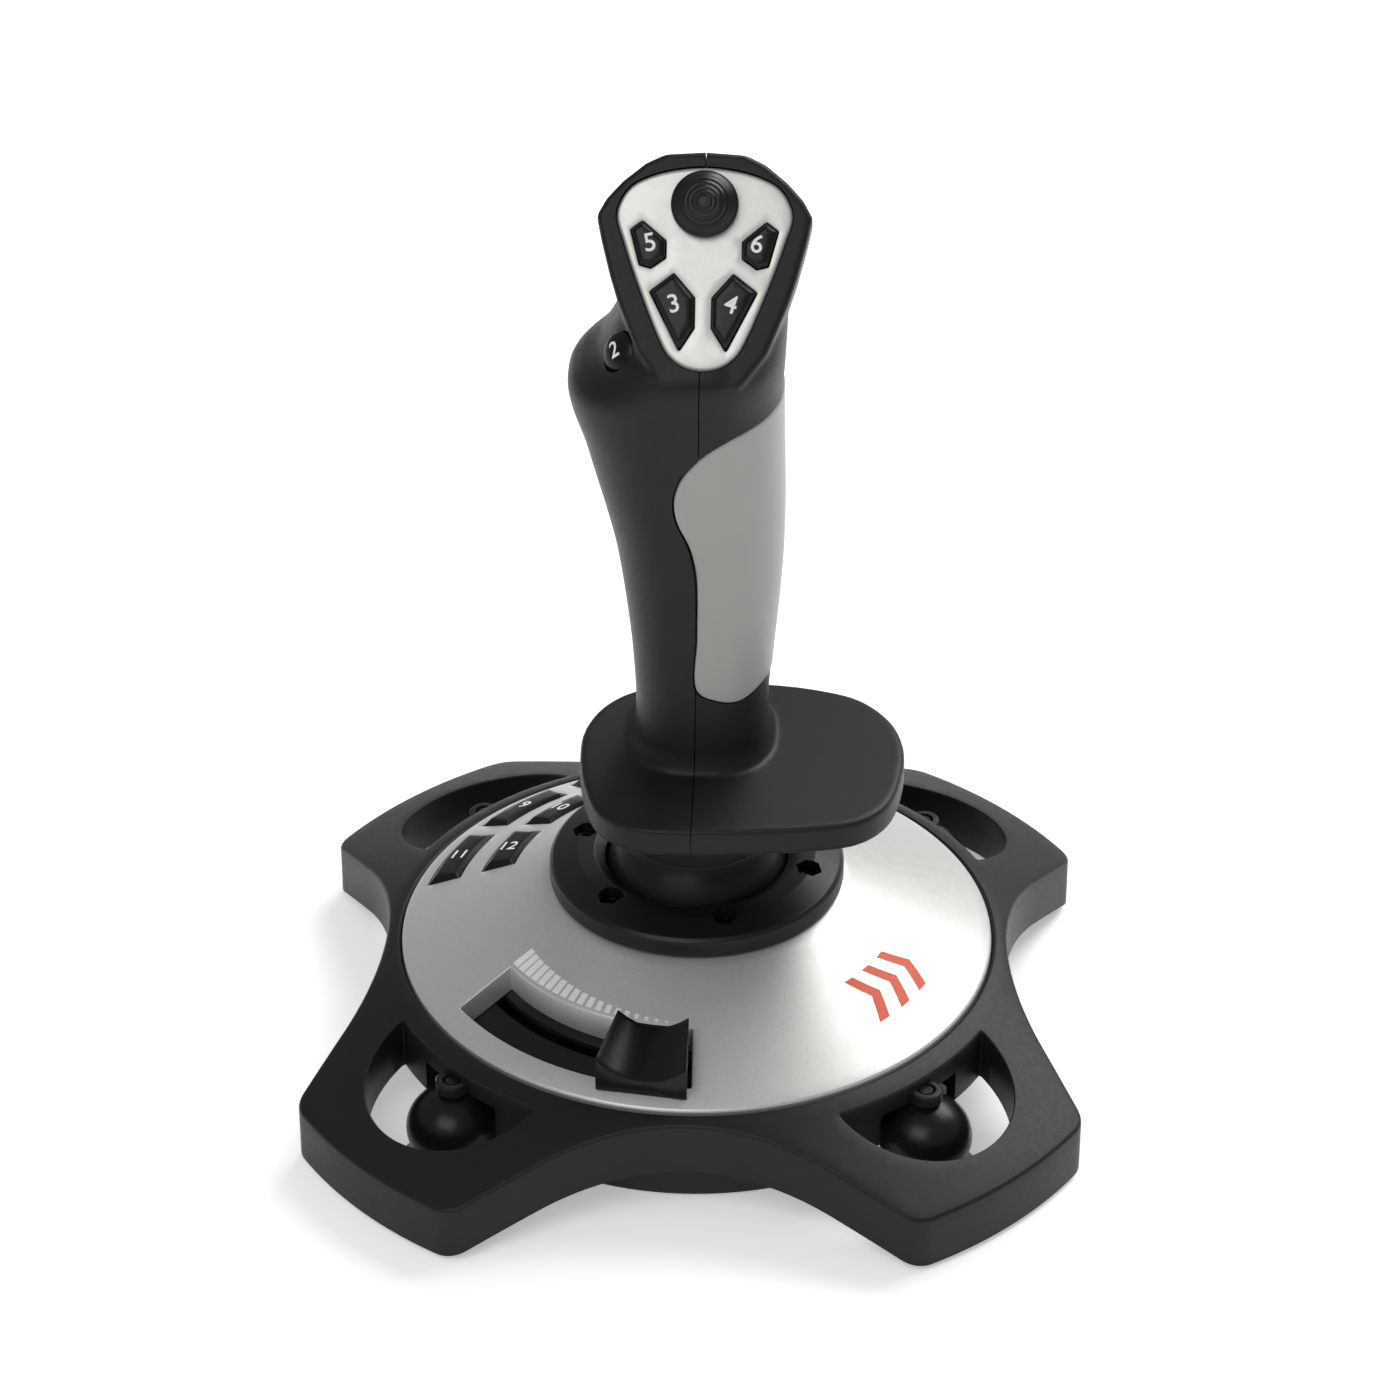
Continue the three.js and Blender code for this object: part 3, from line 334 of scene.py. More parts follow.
def panel(name, outer, holes, place, material, step=2.5, grid=None, up=1):
    """A slab with holes. Each loop comes with a profile of [out, drop] pairs, from the top's edge along
    its wall: out is towards the empty side and drop is below the top. A hole given as (loop, profile,
    True) is blind and gets a floor, and the other walls end on the underside. place turns [x, y, height
    over the top] into a point. A loop can also be a function of out, for edges wider than its corners."""
    loops = [(*outer, False, 1)]
    loops += [(*hole, False, -1) if len(hole) == 2 else (*hole, -1) for hole in holes]
    flat, height, faces = [], [], []
    tops, bottoms, top_ids, bottom_ids = [], [], [], []
    total = 0
    blind_floors = []
    for points, profile, blind, side in loops:
        outs = [out for out, _ in profile]
        rings = [points(out) if callable(points) else offset_loop(points, side * out) for out in outs]
        count = len(rings[0])
        for k, (ring, (_, drop)) in enumerate(zip(rings, profile)):
            flat.append(ring)
            height.append(np.full(count, -drop))
            if k:
                a = total + (k - 1) * count
                for i in range(count):
                    j = (i + 1) % count
                    quad = [a + i, a + count + i, a + count + j, a + j]
                    faces.append(quad if side > 0 else quad[::-1])
        last = total + (len(profile) - 1) * count
        tops.append(rings[0])
        top_ids.append(np.arange(total, total + count))
        if blind:
            blind_floors.append((rings[-1], np.arange(last, last + count), -profile[-1][1]))
        else:
            bottoms.append(rings[-1])
            bottom_ids.append(np.arange(last, last + count))
        total += count * len(profile)
    low, high = tops[0].min(axis=0), tops[0].max(axis=0)
    grid = hex_grid(low, high, step) if grid is None else grid
    regions = [(tops, top_ids, 0.0, 1), (bottoms, bottom_ids, -outer[1][-1][1], -1)]
    regions += [([ring], [ids], depth, 1) for ring, ids, depth in blind_floors]
    for region, ids, depth, facing in regions:
        spare = spare_points(region, grid, step)
        triangles = region_triangles(region, spare)
        table = np.concatenate([*ids, np.arange(total, total + len(spare))])
        triangles = table[triangles]
        faces += triangles.tolist() if facing > 0 else triangles[:, ::-1].tolist()
        flat.append(spare)
        height.append(np.full(len(spare), depth))
        total += len(spare)
    flat, height = np.concatenate(flat), np.concatenate(height)
    vertices = place(flat[:, 0], flat[:, 1], up * height)
    if up < 0:
        faces = [face[::-1] for face in faces]
    return make_object(name, vertices, faces, material)


def revolve(name, profile, material, centre=(0, 0, 0), segments=96, turn=None):
    """A solid turned about Z from [radius, z] points that start and end on the axis, or form a loop."""
    vertices, rings = [], []
    angle = np.linspace(0, 2 * math.pi, segments, endpoint=False)
    for r, z in profile:
        if r < 1e-6:
            rings.append([len(vertices)] * segments)
            vertices.append((0, 0, z))
        else:
            rings.append(list(range(len(vertices), len(vertices) + segments)))
            vertices += [(r * math.cos(a), r * math.sin(a), z) for a in angle]
    closed = profile[0][0] > 1e-6
    faces = []
    for k in range(len(profile) if closed else len(profile) - 1):
        a, b = rings[k], rings[(k + 1) % len(rings)]
        for i in range(segments):
            j = (i + 1) % segments
            face = [a[i], a[j], b[j], b[i]]
            face = [v for n, v in enumerate(face) if v not in face[:n]]
            if len(face) > 2:
                faces.append(face)
    vertices = np.array(vertices)
    if turn is not None:
        vertices = vertices @ np.array(turn.to_3x3()).T
    return facing_out(make_object(name, vertices + np.array(centre), faces, material))


def facing_out(piece):
    """Turns the faces over where the closed mesh is inside out."""
    mesh = piece.data
    mesh.calc_loop_triangles()
    co = np.array([v.co for v in mesh.vertices])
    tri = np.array([t.vertices for t in mesh.loop_triangles])
    a, b, c = co[tri[:, 0]], co[tri[:, 1]], co[tri[:, 2]]
    if np.sum(a * np.cross(b, c)) < 0:
        mesh.flip_normals()
    return piece


def loft(name, rings, material):
    """A closed skin over rings of points, each ring with the same count."""
    count = len(rings[0])
    vertices = np.concatenate([np.array(ring, float) for ring in rings])
    faces = []
    for k in range(len(rings) - 1):
        for i in range(count):
            j = (i + 1) % count
            faces.append([k * count + i, k * count + j, (k + 1) * count + j, (k + 1) * count + i])
    last = (len(rings) - 1) * count
    faces += [list(range(count))[::-1], list(range(last, last + count))]
    return facing_out(make_object(name, vertices, faces, material))


def block(name, low, high, matrix=None):
    """A plain box, for cutting."""
    corners = np.array(list(product(*zip(low, high))))
    faces = [[0, 1, 3, 2], [4, 6, 7, 5], [0, 4, 5, 1], [2, 3, 7, 6], [0, 2, 6, 4], [1, 5, 7, 3]]
    return facing_out(make_object(name, moved(corners, matrix), faces, None, smooth=False))


def moved(points, matrix):
    points = np.array(points, float)
    if matrix is None:
        return points
    m = np.array(matrix)
    return points @ m[:3, :3].T + m[:3, 3]


def standing(matrix):
    """A place function for a panel that lies in a tilted frame."""
    def place(x, y, h):
        return moved(np.stack([x, y, h], axis=1), matrix)
    return place


def coned(top):
    """A place function for a panel on a cone whose height depends on the radius."""
    def place(x, y, h):
        return np.stack([x, y, top(np.hypot(x, y)) + h], axis=1)
    return place


# ------------------------------------------------------------------------- materials


class Look:
    """A procedural material in the object's own coordinates, with feature sizes in millimetres."""

    def __init__(self, name, roughness=0.5, metallic=0.0, specular=0.5, coat=0.0, coat_roughness=0.1):
        self.material = bpy.data.materials.new(name)
        self.material.use_nodes = True
        self.tree = self.material.node_tree
        self.shader = self.tree.nodes["Principled BSDF"]
        self.shader.inputs["Roughness"].default_value = roughness
        self.shader.inputs["Metallic"].default_value = metallic
        self.shader.inputs["Specular IOR Level"].default_value = specular
        self.shader.inputs["Coat Weight"].default_value = coat
        self.shader.inputs["Coat Roughness"].default_value = coat_roughness
        self.place = self.tree.nodes.new("ShaderNodeTexCoord").outputs["Object"]
        self.normal = None

    def link(self, source, node, socket):
        self.tree.links.new(source, node.inputs[socket])

    def noise(self, size, detail=2.0, stretch=None):
        texture = self.tree.nodes.new("ShaderNodeTexNoise")
        texture.inputs["Scale"].default_value = 1 / (size * MM)
        texture.inputs["Detail"].default_value = detail
        place = self.place
        if stretch:
            mapping = self.tree.nodes.new("ShaderNodeMapping")
            mapping.inputs["Scale"].default_value = stretch
            self.link(place, mapping, "Vector")
            place = mapping.outputs["Vector"]
        self.link(place, texture, "Vector")
        return texture.outputs["Fac"]

    def flakes(self, size):
        texture = self.tree.nodes.new("ShaderNodeTexVoronoi")
        texture.inputs["Scale"].default_value = 1 / (size * MM)
        self.link(self.place, texture, "Vector")
        return texture.outputs["Color"]

    def remap(self, source, low, high, start=0.3, end=0.7):
        node = self.tree.nodes.new("ShaderNodeMapRange")
        limits = {"From Min": start, "From Max": end, "To Min": low, "To Max": high}
        for socket, value in limits.items():
            node.inputs[socket].default_value = value
        self.link(source, node, "Value")
        return node.outputs["Result"]

    def blend(self, factor, first, second):
        node = self.tree.nodes.new("ShaderNodeMix")
        node.data_type = "RGBA"
        self.link(factor, node, "Factor")
        for socket, value in ((6, first), (7, second)):
            node.inputs[socket].default_value = (*value, 1)
        return node.outputs[2]

    def colour(self, source):
        self.link(source, self.shader, "Base Color")

    def roughness(self, source):
        self.link(source, self.shader, "Roughness")

    def bump(self, source, depth):
        node = self.tree.nodes.new("ShaderNodeBump")
        node.inputs["Distance"].default_value = depth * MM
        self.link(source, node, "Height")
        if self.normal is not None:
            self.link(self.normal, node, "Normal")
        self.normal = node.outputs["Normal"]
        self.link(self.normal, self.shader, "Normal")


def moulded(name, dark, light, smooth, rough, grain=0.25, depth=0.02, specular=0.5):
    """Moulded plastic or rubber: a fine spark-eroded grain, uneven gloss and a faint mottle."""
    look = Look(name, specular=specular)
    look.colour(look.blend(look.remap(look.noise(9, 4), 0, 1), dark, light))
    look.roughness(look.remap(look.noise(1.4, 5), smooth, rough))
    look.bump(look.noise(grain, 3), depth)
    look.bump(look.noise(3.5, 2), depth)
    return look.material


def painted(name, dark, light, metallic, smooth, rough, flake=0.22):
    """Metallic paint on plastic: flakes that vary in brightness under a satin surface."""
    look = Look(name, metallic=metallic, coat=0.15, coat_roughness=0.25)
    sparkle = look.remap(look.flakes(flake), 0, 1, 0.1, 0.9)
    look.colour(look.blend(sparkle, dark, light))
    look.roughness(look.remap(look.noise(2.5, 5), smooth, rough))
    look.bump(look.noise(flake * 1.5, 2), 0.006)
    return look.material


def metal(name, dark, light, smooth, rough):
    look = Look(name, metallic=1.0)
    look.colour(look.blend(look.remap(look.noise(3, 4), 0, 1), dark, light))
    look.roughness(look.remap(look.noise(0.4, 4, (1, 1, 0.15)), smooth, rough))
    look.bump(look.noise(0.3, 3, (1, 1, 0.1)), 0.01)
    return look.material


def print_ink(name, dark, light):
    """Screen-printed ink with a slightly uneven film."""
    look = Look(name)
    look.colour(look.blend(look.remap(look.noise(0.6, 4), 0, 1), dark, light))
    look.roughness(look.remap(look.noise(0.5, 3), 0.45, 0.6))
    look.bump(look.noise(0.3, 2), 0.006)
    return look.material


def board_green(name):
    """Solder mask over faint copper tracks."""
    look = Look(name, coat=0.4)
    tracks = look.remap(look.noise(1.6, 0, (1, 0.12, 1)), 0, 1, 0.52, 0.56)
    look.colour(look.blend(tracks, (0.01, 0.09, 0.035), (0.03, 0.2, 0.08)))
    look.roughness(look.remap(look.noise(1, 3), 0.3, 0.45))
    look.bump(tracks, 0.03)
    return look.material


black = moulded(
    "satin_black", (0.0098, 0.0098, 0.0100), (0.0115, 0.0115, 0.0117), 0.40, 0.47, specular=0.22)
hub_black = moulded(
    "hub_black", (0.0080, 0.0080, 0.0082), (0.0095, 0.0095, 0.0097), 0.34, 0.40, specular=0.25)
key_black = moulded(
    "key_black", (0.0065, 0.0065, 0.0067), (0.0080, 0.0080, 0.0082), 0.24, 0.30, 0.4, 0.004, specular=0.2)
rubber = moulded(
    "black_rubber", (0.0065, 0.0065, 0.007), (0.0085, 0.0085, 0.009), 0.26, 0.34, 0.5, 0.008, specular=0.25)
grey_coat = moulded("grey_soft_coat", (0.29, 0.295, 0.275), (0.298, 0.303, 0.283), 0.38, 0.44, 0.2, 0.006)
dark_inner = moulded("inner_plastic", (0.05, 0.052, 0.055), (0.08, 0.083, 0.088), 0.5, 0.65)
carbon = moulded("carbon_track", (0.006, 0.006, 0.006), (0.009, 0.009, 0.009), 0.5, 0.6, specular=0.2)
silver = painted("silver_paint", (0.54, 0.545, 0.52), (0.62, 0.625, 0.60), 0.6, 0.40, 0.46)
pearl = painted("pearl_paint", (0.64, 0.65, 0.61), (0.68, 0.69, 0.65), 0.25, 0.32, 0.38)
blackened = metal("blackened_steel", (0.015, 0.015, 0.016), (0.03, 0.03, 0.031), 0.35, 0.5)
zinc = metal("zinc_plated_steel", (0.42, 0.43, 0.44), (0.6, 0.61, 0.62), 0.25, 0.42)
white_ink = print_ink("white_ink", (0.80, 0.80, 0.79), (0.88, 0.88, 0.87))
orange_ink = print_ink("orange_ink", (0.62, 0.055, 0.004), (0.70, 0.07, 0.006))
green_board = board_green("solder_mask")


# ------------------------------------------------------------------------- base surfaces

PLATE_RADIUS = node_box("top_plate")[1][0]
PLATE_EDGE_Z = 32.7
PLATE_SLOPE = 0.463
BODY_SLOPE = 0.401
HUB_SEAT_RADIUS = 38.8
LEDGE_RADIUS = 77.8
BODY_DEPTH = 15.5
WALL = 2.6
SEAM = 0.3
OUTLINE_STEP = 1.6


def plate_top(r):
    return PLATE_EDGE_Z + PLATE_SLOPE * (PLATE_RADIUS - np.maximum(r, HUB_SEAT_RADIUS))


def body_top(r):
    return PLATE_EDGE_Z + BODY_SLOPE * (PLATE_RADIUS - r)


def base_outline(inset=0.0):
    """Four lobes with round corners, joined by concave sides."""
    lobe, scoop, depth, half_width, corner = 120.3, 85.0, 84.3, 38.0, 8.0
    tangent = math.asin(half_width / scoop)
    middle = np.array([0, depth + scoop])
    along = np.array([math.cos(tangent), math.sin(tangent)])
    inward = np.array([along[1], -along[0]])
    start = np.array([half_width, middle[1] - scoop * math.cos(tangent)]) + corner * inward
    half = start @ along
    run = -half + math.sqrt(half * half - start @ start + (lobe - corner) ** 2)
    centre = start + run * along
    turn = math.degrees(math.atan2(centre[1], centre[0]))
    lean = math.degrees(tangent)
    eighth = np.concatenate([
        arc(scoop + inset, -90, -90 + lean, OUTLINE_STEP, middle),
        densified(np.array([
            middle + (scoop + inset) * np.array([math.sin(tangent), -math.cos(tangent)]),
            centre + (corner - inset) * np.array([-math.sin(tangent), math.cos(tangent)]),
        ]), OUTLINE_STEP, closed=False)[1:-1],
        arc(corner - inset, 90 + lean, turn, OUTLINE_STEP / 2, centre),
        arc(lobe - inset, turn, 45, OUTLINE_STEP)[1:],
    ])
    quarter = np.concatenate([eighth, eighth[-2:0:-1, ::-1]])
    turns = [np.array([[0, 1], [-1, 0]])] * 3
    whole = [quarter]
    for step in turns:
        whole.append(whole[-1] @ step.T)
    return counterclockwise(np.concatenate(whole))


def lobe_opening(angle, grow=0.0, corner=1.6):
    """The crescent between the opening's circle and the round body in the middle."""
    centre, outer, inner = 83.3, 26.4 + grow, 86.3 - grow
    reach = (centre ** 2 + inner ** 2 - outer ** 2) / (2 * centre)
    spread = math.degrees(math.acos(reach / inner))
    meet = inner * np.array([math.cos(math.radians(spread)), math.sin(math.radians(spread))])
    swing = math.degrees(math.atan2(meet[1], meet[0] - centre))
    outline = np.concatenate([
        arc(outer, -swing, swing, OUTLINE_STEP, (centre, 0)),
        arc(inner, spread, -spread, OUTLINE_STEP)[1:-1],
    ])
    outline = counterclockwise(rounded(outline, corner))
    c, s = math.cos(math.radians(angle)), math.sin(math.radians(angle))
    return outline @ np.array([[c, s], [-s, c]])


# ------------------------------------------------------------------------- base shell and cover

CUP_AT = float(np.linalg.norm(node_middle("suction_cup_1")[:2]))
CUP_TAB_Z = 24.6
NICHE_RADIUS = 14.2
TAB_HALF = 4.2
TAB_THICK = 3.2
TAB_START = 80.5


def upright_rod(name, radius, z0, z1, centre, segments=48):
    profile = [(0, z0), (radius, z0), (radius, z1), (0, z1)]
    return revolve(name, profile, None, (*centre, 0), segments)


def prism(name, outline, low, high, matrix=None):
    """A straight prism, for cutting."""
    rings = [moved(np.column_stack([outline, np.full(len(outline), z)]), matrix) for z in (low, high)]
    return loft(name, rings, None)


def build_shell():
    foot = [(0, BODY_DEPTH - 0.6), (-0.5, BODY_DEPTH), (-WALL, BODY_DEPTH), (-WALL, BODY_DEPTH - 3.5)]
    rim = round_over(0.9, 5) + [(0, 5)] + foot
    lip = round_over(0.5, 4) + [(0, 6)] + foot
    groove = [(-0.3, 0), (0, 0.12), (0.3, 0.5), (0.8, 1.1), (0.8, 2.4), (1.0, 2.6), (3.4, 3.6),
              (3.4, BODY_DEPTH - 3.5)]
    shell = panel(
        "base_body", (base_outline(), rim),
        [(circle(LEDGE_RADIUS + 3.4, 1.5), groove)] + [(lobe_opening(a), lip) for a in LOBE_ANGLES],
        coned(body_top), black, step=3.0,
    )
    for angle in LOBE_ANGLES:
        centre = polar(CUP_AT, angle)
        with_boolean(shell, upright_rod("niche", NICHE_RADIUS, -5, CUP_TAB_Z, centre))
        tip = arc(TAB_HALF, -90, 90, 1, (CUP_AT, 0))
        tab = counterclockwise([(TAB_START, -TAB_HALF), *tip, (TAB_START, TAB_HALF)])
        stud_hole = (circle(2.5, 0.8, (CUP_AT, 0)), [(0, 0), (0, TAB_THICK)])
        turn = Matrix.Rotation(math.radians(angle), 4, "Z")
        place = standing(Matrix.Translation((0, 0, CUP_TAB_Z + TAB_THICK)) @ turn)
        arm = panel("arm", (tab, round_over(0.6, 3) + [(0, TAB_THICK)]), [stud_hole], place, black)
        with_boolean(shell, arm, "UNION")
    inlet = revolve("inlet", [(0, -95), (3.5, -95), (3.5, -76), (0, -76)], None,
                    (0, 0, node_middle("cable_inlet")[2]), 40, Matrix.Rotation(math.radians(90), 4, "X"))
    with_boolean(shell, inlet)
    dressed(shell, black)
    smooth_shaded(shell)
    handed_in(shell, "base", "base_shell")


def build_cover():
    """The bottom cover, made upside down: its flange fills the shell's foot and the drum stands out."""
    drum_radius = 75.4
    drum_foot = node_box("bottom_cover")[0][2]
    rest = body_top(drum_radius) - BODY_DEPTH + SEAM

    def top(r):
        return np.where(r < drum_radius, rest, body_top(r) - BODY_DEPTH + SEAM)

    tall = rest - drum_foot
    drum = [(0, 0), (0, -3), (0, 1.0 - tall), (0.3, 0.3 - tall), (1.0, -tall)]
    inset = WALL + SEAM
    cover = panel(
        "base_cover", (base_outline(inset), [(0, 0), (0, 2.2)]),
        [(circle(drum_radius, 1.5), drum, True)]
        + [(lobe_opening(a, inset, 3.0), [(0, 0), (0, 2.2)]) for a in LOBE_ANGLES],
        coned(top), black, step=3.5, up=-1,
    )
    for angle in LOBE_ANGLES:
        with_boolean(cover, upright_rod("niche", NICHE_RADIUS + 2.7, -5, 40, polar(CUP_AT, angle)))
    for k in range(1, 5):
        centre = node_middle(f"cover_screw_{k}")[:2]
        with_boolean(cover, upright_rod("recess", 3.3, -1, 3, centre, 32))
    dressed(cover, black)
    smooth_shaded(cover)
    handed_in(cover, "base", "bottom_cover")


SCREW_HEAD = 1.8


def cross_recess(head_radius, depth, matrix):
    """A cutter for a cross-head screw."""
    arm, half = 0.62 * head_radius, 0.13 * head_radius
    first = block("cross", (-arm, -half, -depth), (arm, half, 2), matrix)
    second = block("cross", (-half, -arm, -depth), (half, arm, 2), matrix)
    return with_boolean(first, second, "UNION")


def screw(node, body, matrix, head, core, length):
    """A pan-head cross screw: its head faces +Z of the matrix, with the underside at the origin."""
    top = SCREW_HEAD
    crown = rounded([(0, top), (0.75 * head, top), (head, 0.35 * top), (head, 0)], 0.5, closed=False)
    profile = [*map(tuple, crown), (core, 0), (core, -length), (0, -length)]
    piece = revolve(f"{node}_head", profile, zinc, segments=40)
    with_boolean(piece, cross_recess(head, 0.5 * top, Matrix.Translation((0, 0, top))))
    dressed(piece, zinc)
    in_metres = matrix.copy()
    in_metres.translation = matrix.translation * MM
    piece.data.transform(in_metres)
    smooth_shaded(piece)
    handed_in(piece, body, node)


def build_cover_screws():
    for k in range(1, 5):
        low, high = node_box(f"cover_screw_{k}")
        x, y, _ = (low + high) / 2
        matrix = Matrix.Translation((x, y, low[2] + SCREW_HEAD)) @ Matrix.Rotation(math.pi, 4, "X")
        screw(f"cover_screw_{k}", "base", matrix, 2.9, 1.4, high[2] - low[2] - SCREW_HEAD)


def build_cups():
    bulb_z, bulb = 12.6, 12.4
    turn = np.radians(np.linspace(-38, 78, 22))
    skirt = [(0, 3.6), (4, 3.3), (8, 2.4), (11.5, 0.7), (12.6, 0), (14.4, 0), (14.6, 0.35), (14.5, 0.8),
             (12.6, 2.2), (10.9, 3.8)]
    dome = [(bulb * math.cos(t), bulb_z + (bulb - 1) * math.sin(t)) for t in turn]
    stud = [(2.1, 24.0), (2.1, CUP_TAB_Z + 2.3), (1.7, CUP_TAB_Z + 3), (0, CUP_TAB_Z + 3)]
    for k in range(1, 5):
        centre = node_middle(f"suction_cup_{k}")
        centre[2] = 0
        piece = revolve(f"cup_{k}", skirt + dome + stud, rubber, centre, 72)
        handed_in(piece, "base", f"suction_cup_{k}")


def build_inlet():
    low, high = node_box("cable_inlet")
    start, end = low[1], high[1]
    profile = rounded([
        (1.9, start), (3.6, start), (4.4, start + 0.8), (4.4, start + 1.7), (3.2, start + 1.7),
        (3.2, end - 0.5), (4.4, end - 0.5), (4.4, end), (1.9, end),
    ], 0.25, steps=3)
    turn = Matrix.Rotation(math.radians(-90), 4, "X")
    centre = (0, 0, node_middle("cable_inlet")[2])
    piece = revolve("cable_bush", [tuple(p) for p in profile], rubber, centre, 48, turn)
    handed_in(piece, "base", "cable_inlet")


# ------------------------------------------------------------------------- top plate, hub and keys

PLATE_THICK = 2.4
SLOT = (58, 73.8, -146.2, -89.2)
SLOT_DEPTH = 7.5
KEY_CENTRES = (110.2, 134.3, 158.4)
KEY_ANGLE = 19.4
KEY_ROWS = ((66.6, 76.2), (51, 60.6))
KEY_BEVEL = 1.4
KEY_PROUD = (0.5, 1.8)


def key_pocket(row, angle, grow=0.0, corner=0.7):
    r0, r1 = KEY_ROWS[row]
    half = KEY_ANGLE / 2 + math.degrees(grow / r1)
    step = math.radians(2 * half) * (r1 + grow) / 18.5
    return sector(r0 - grow, r1 + grow, angle - half, angle + half, corner, step)


def build_plate():
    walls = [(-0.25, 0), (-0.07, 0.07), (0, 0.25), (0, 4.5), (-1, 4.5), (-1, PLATE_THICK)]
    slot_walls = round_over(0.4, 3) + [(0, SLOT_DEPTH), (-1.2, SLOT_DEPTH), (-1.2, PLATE_THICK)]
    rim = round_over(0.7, 4) + [(0, PLATE_THICK)]
    pockets = [(key_pocket(row, angle), walls) for angle in KEY_CENTRES for row in (0, 1)]
    plate = panel(
        "plate_cone", (circle(PLATE_RADIUS, 1.3), rim),
        [(circle(28.6, 1.5), [(0, 0), (0, PLATE_THICK)]), (sector(*SLOT, 0.7, 1.3), slot_walls)] + pockets,
        coned(plate_top), silver, step=2.2, grid=polar_grid(30, 79, 2.3, 200),
    )
    handed_in(plate, "base", "top_plate")


def build_track():
    floor = coned(lambda r: plate_top(r) - SLOT_DEPTH - SEAM)
    outline = sector(SLOT[0] - 3, SLOT[1] + 2, SLOT[2] - 3, SLOT[3] + 3, 0.8, 1.5)
    neck = sector(60.1, 62.9, SLOT[2] - 0.5, SLOT[3] + 0.5, 1.2, 1.2)
    track = panel("slot_floor", (outline, [(0, 0), (0, 1.7)]), [(neck, round_over(0.4, 3) + [(0, 1.7)])],
                  floor, hub_black)
    handed_in(track, "base", "throttle_track")


def hexagon(centre, size, facing):
    return polar(size, facing + 60 * np.arange(6)) + np.array(centre)


def build_hub():
    """The bolted ring: a shallow cone from a rolled bore to a bevelled rim, with six hexagon pockets."""
    low, high = node_box("hub_ring")
    outer, top = high[0], high[2]
    section = [
        (24.5, top - 1.8), (27.5, top), (32, top - 0.1), (outer - 1, top - 2), (outer, top - 3),
        (outer, top - 7.7), (28.3, top - 7.7), (28.3, low[2]), (26.3, low[2]), (26.2, low[2] + 3),
        (24.6, low[2] + 7.7),
    ]
    ring = revolve("hub_collar", [tuple(p) for p in rounded(section, 0.9)], hub_black, segments=144)
    for k in range(1, 7):
        x, y, _ = node_middle(f"hub_screw_{k}")
        facing = math.degrees(math.atan2(y, x))
        with_boolean(ring, prism("pocket", hexagon((x, y), 3.65, facing), 54.2, 65))
        with_boolean(ring, upright_rod("screw_hole", 1.8, 50, 60, (x, y), 24))
        head_top = node_box(f"hub_screw_{k}")[1][2]
        profile = rounded([(0, 42), (1.5, 42), (1.5, 54.5), (2.75, 54.5), (2.75, head_top), (1.7, head_top),
                           (1.6, 55.6), (0, 55.6)], 0.2, closed=False, steps=3)
        piece = revolve(f"hub_screw_{k}_head", [tuple(p) for p in profile], blackened, (x, y, 0), 36)
        handed_in(piece, "base", f"hub_screw_{k}")
    dressed(ring, hub_black)
    smooth_shaded(ring)
    handed_in(ring, "base", "hub_ring")


def build_dome():
    """The ball inside the hub ring and the neck on it, both hollow."""
    _, high = node_box("pivot_dome")
    radius, pivot = high[0], joint_named("pitch")["pos_m"][2] / MM
    neck, wall, shaft, lid, below = 18.8, 2, 3.8, high[2], 97

    def ball(r, start, end, steps):
        turn = np.radians(np.linspace(start, end, steps))
        return [(r * math.sin(t), pivot + r * math.cos(t)) for t in turn]

    outside = ball(radius, below, math.degrees(math.asin(neck / radius)) + 3, 40)
    inner = ball(radius - wall, math.degrees(math.asin((neck - wall) / (radius - wall))), below, 24)
    foot = outside[-1][1] + 1.6
    collar = rounded([outside[-1], (neck, foot), (neck, lid), (shaft, lid)], 1.2, closed=False)
    ceiling = [(shaft, lid - 2.4), (neck - wall, lid - 2.4)]
    profile = outside + [tuple(p) for p in collar[1:]] + ceiling + inner
    dome = revolve("pivot_boot", profile, hub_black, segments=96)
    handed_in(dome, "stick", "pivot_dome")


INK_LIFT = 0.07
BOLD = 0.008


def digits(name, text, size, place, centre, turn, body):
    """Printed numerals: flat type that follows the surface that place describes."""
    font = bpy.data.curves.new(name, "FONT")
    font.body = text
    font.size = 1
    font.align_x = "CENTER"
    font.align_y = "CENTER"
    font.offset = BOLD
    font.resolution_u = 6
    font.extrude = 0.02
    label = bpy.data.objects.new(name, font)
    bpy.context.scene.collection.objects.link(label)
    graph = bpy.context.evaluated_depsgraph_get()
    mesh = bpy.data.meshes.new_from_object(label.evaluated_get(graph))
    bpy.data.objects.remove(label)
    points = np.array([v.co for v in mesh.vertices])
    middle = (points[:, :2].min(axis=0) + points[:, :2].max(axis=0)) / 2
    faces = [list(p.vertices) for p in mesh.polygons]
    bpy.data.meshes.remove(mesh)
    c, s = math.cos(math.radians(turn)), math.sin(math.radians(turn))
    flat = (points[:, :2] - middle) * size @ np.array([[c, s], [-s, c]]) + np.array(centre)
    vertices = place(flat[:, 0], flat[:, 1], np.where(points[:, 2] > 0, INK_LIFT, INK_LIFT - 0.12))
    piece = make_object(name, vertices, faces, white_ink, smooth=False)
    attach(piece, body)


def key_cap_outline(row, angle, out):
    return key_pocket(row, angle, out - 0.35, 0.45)


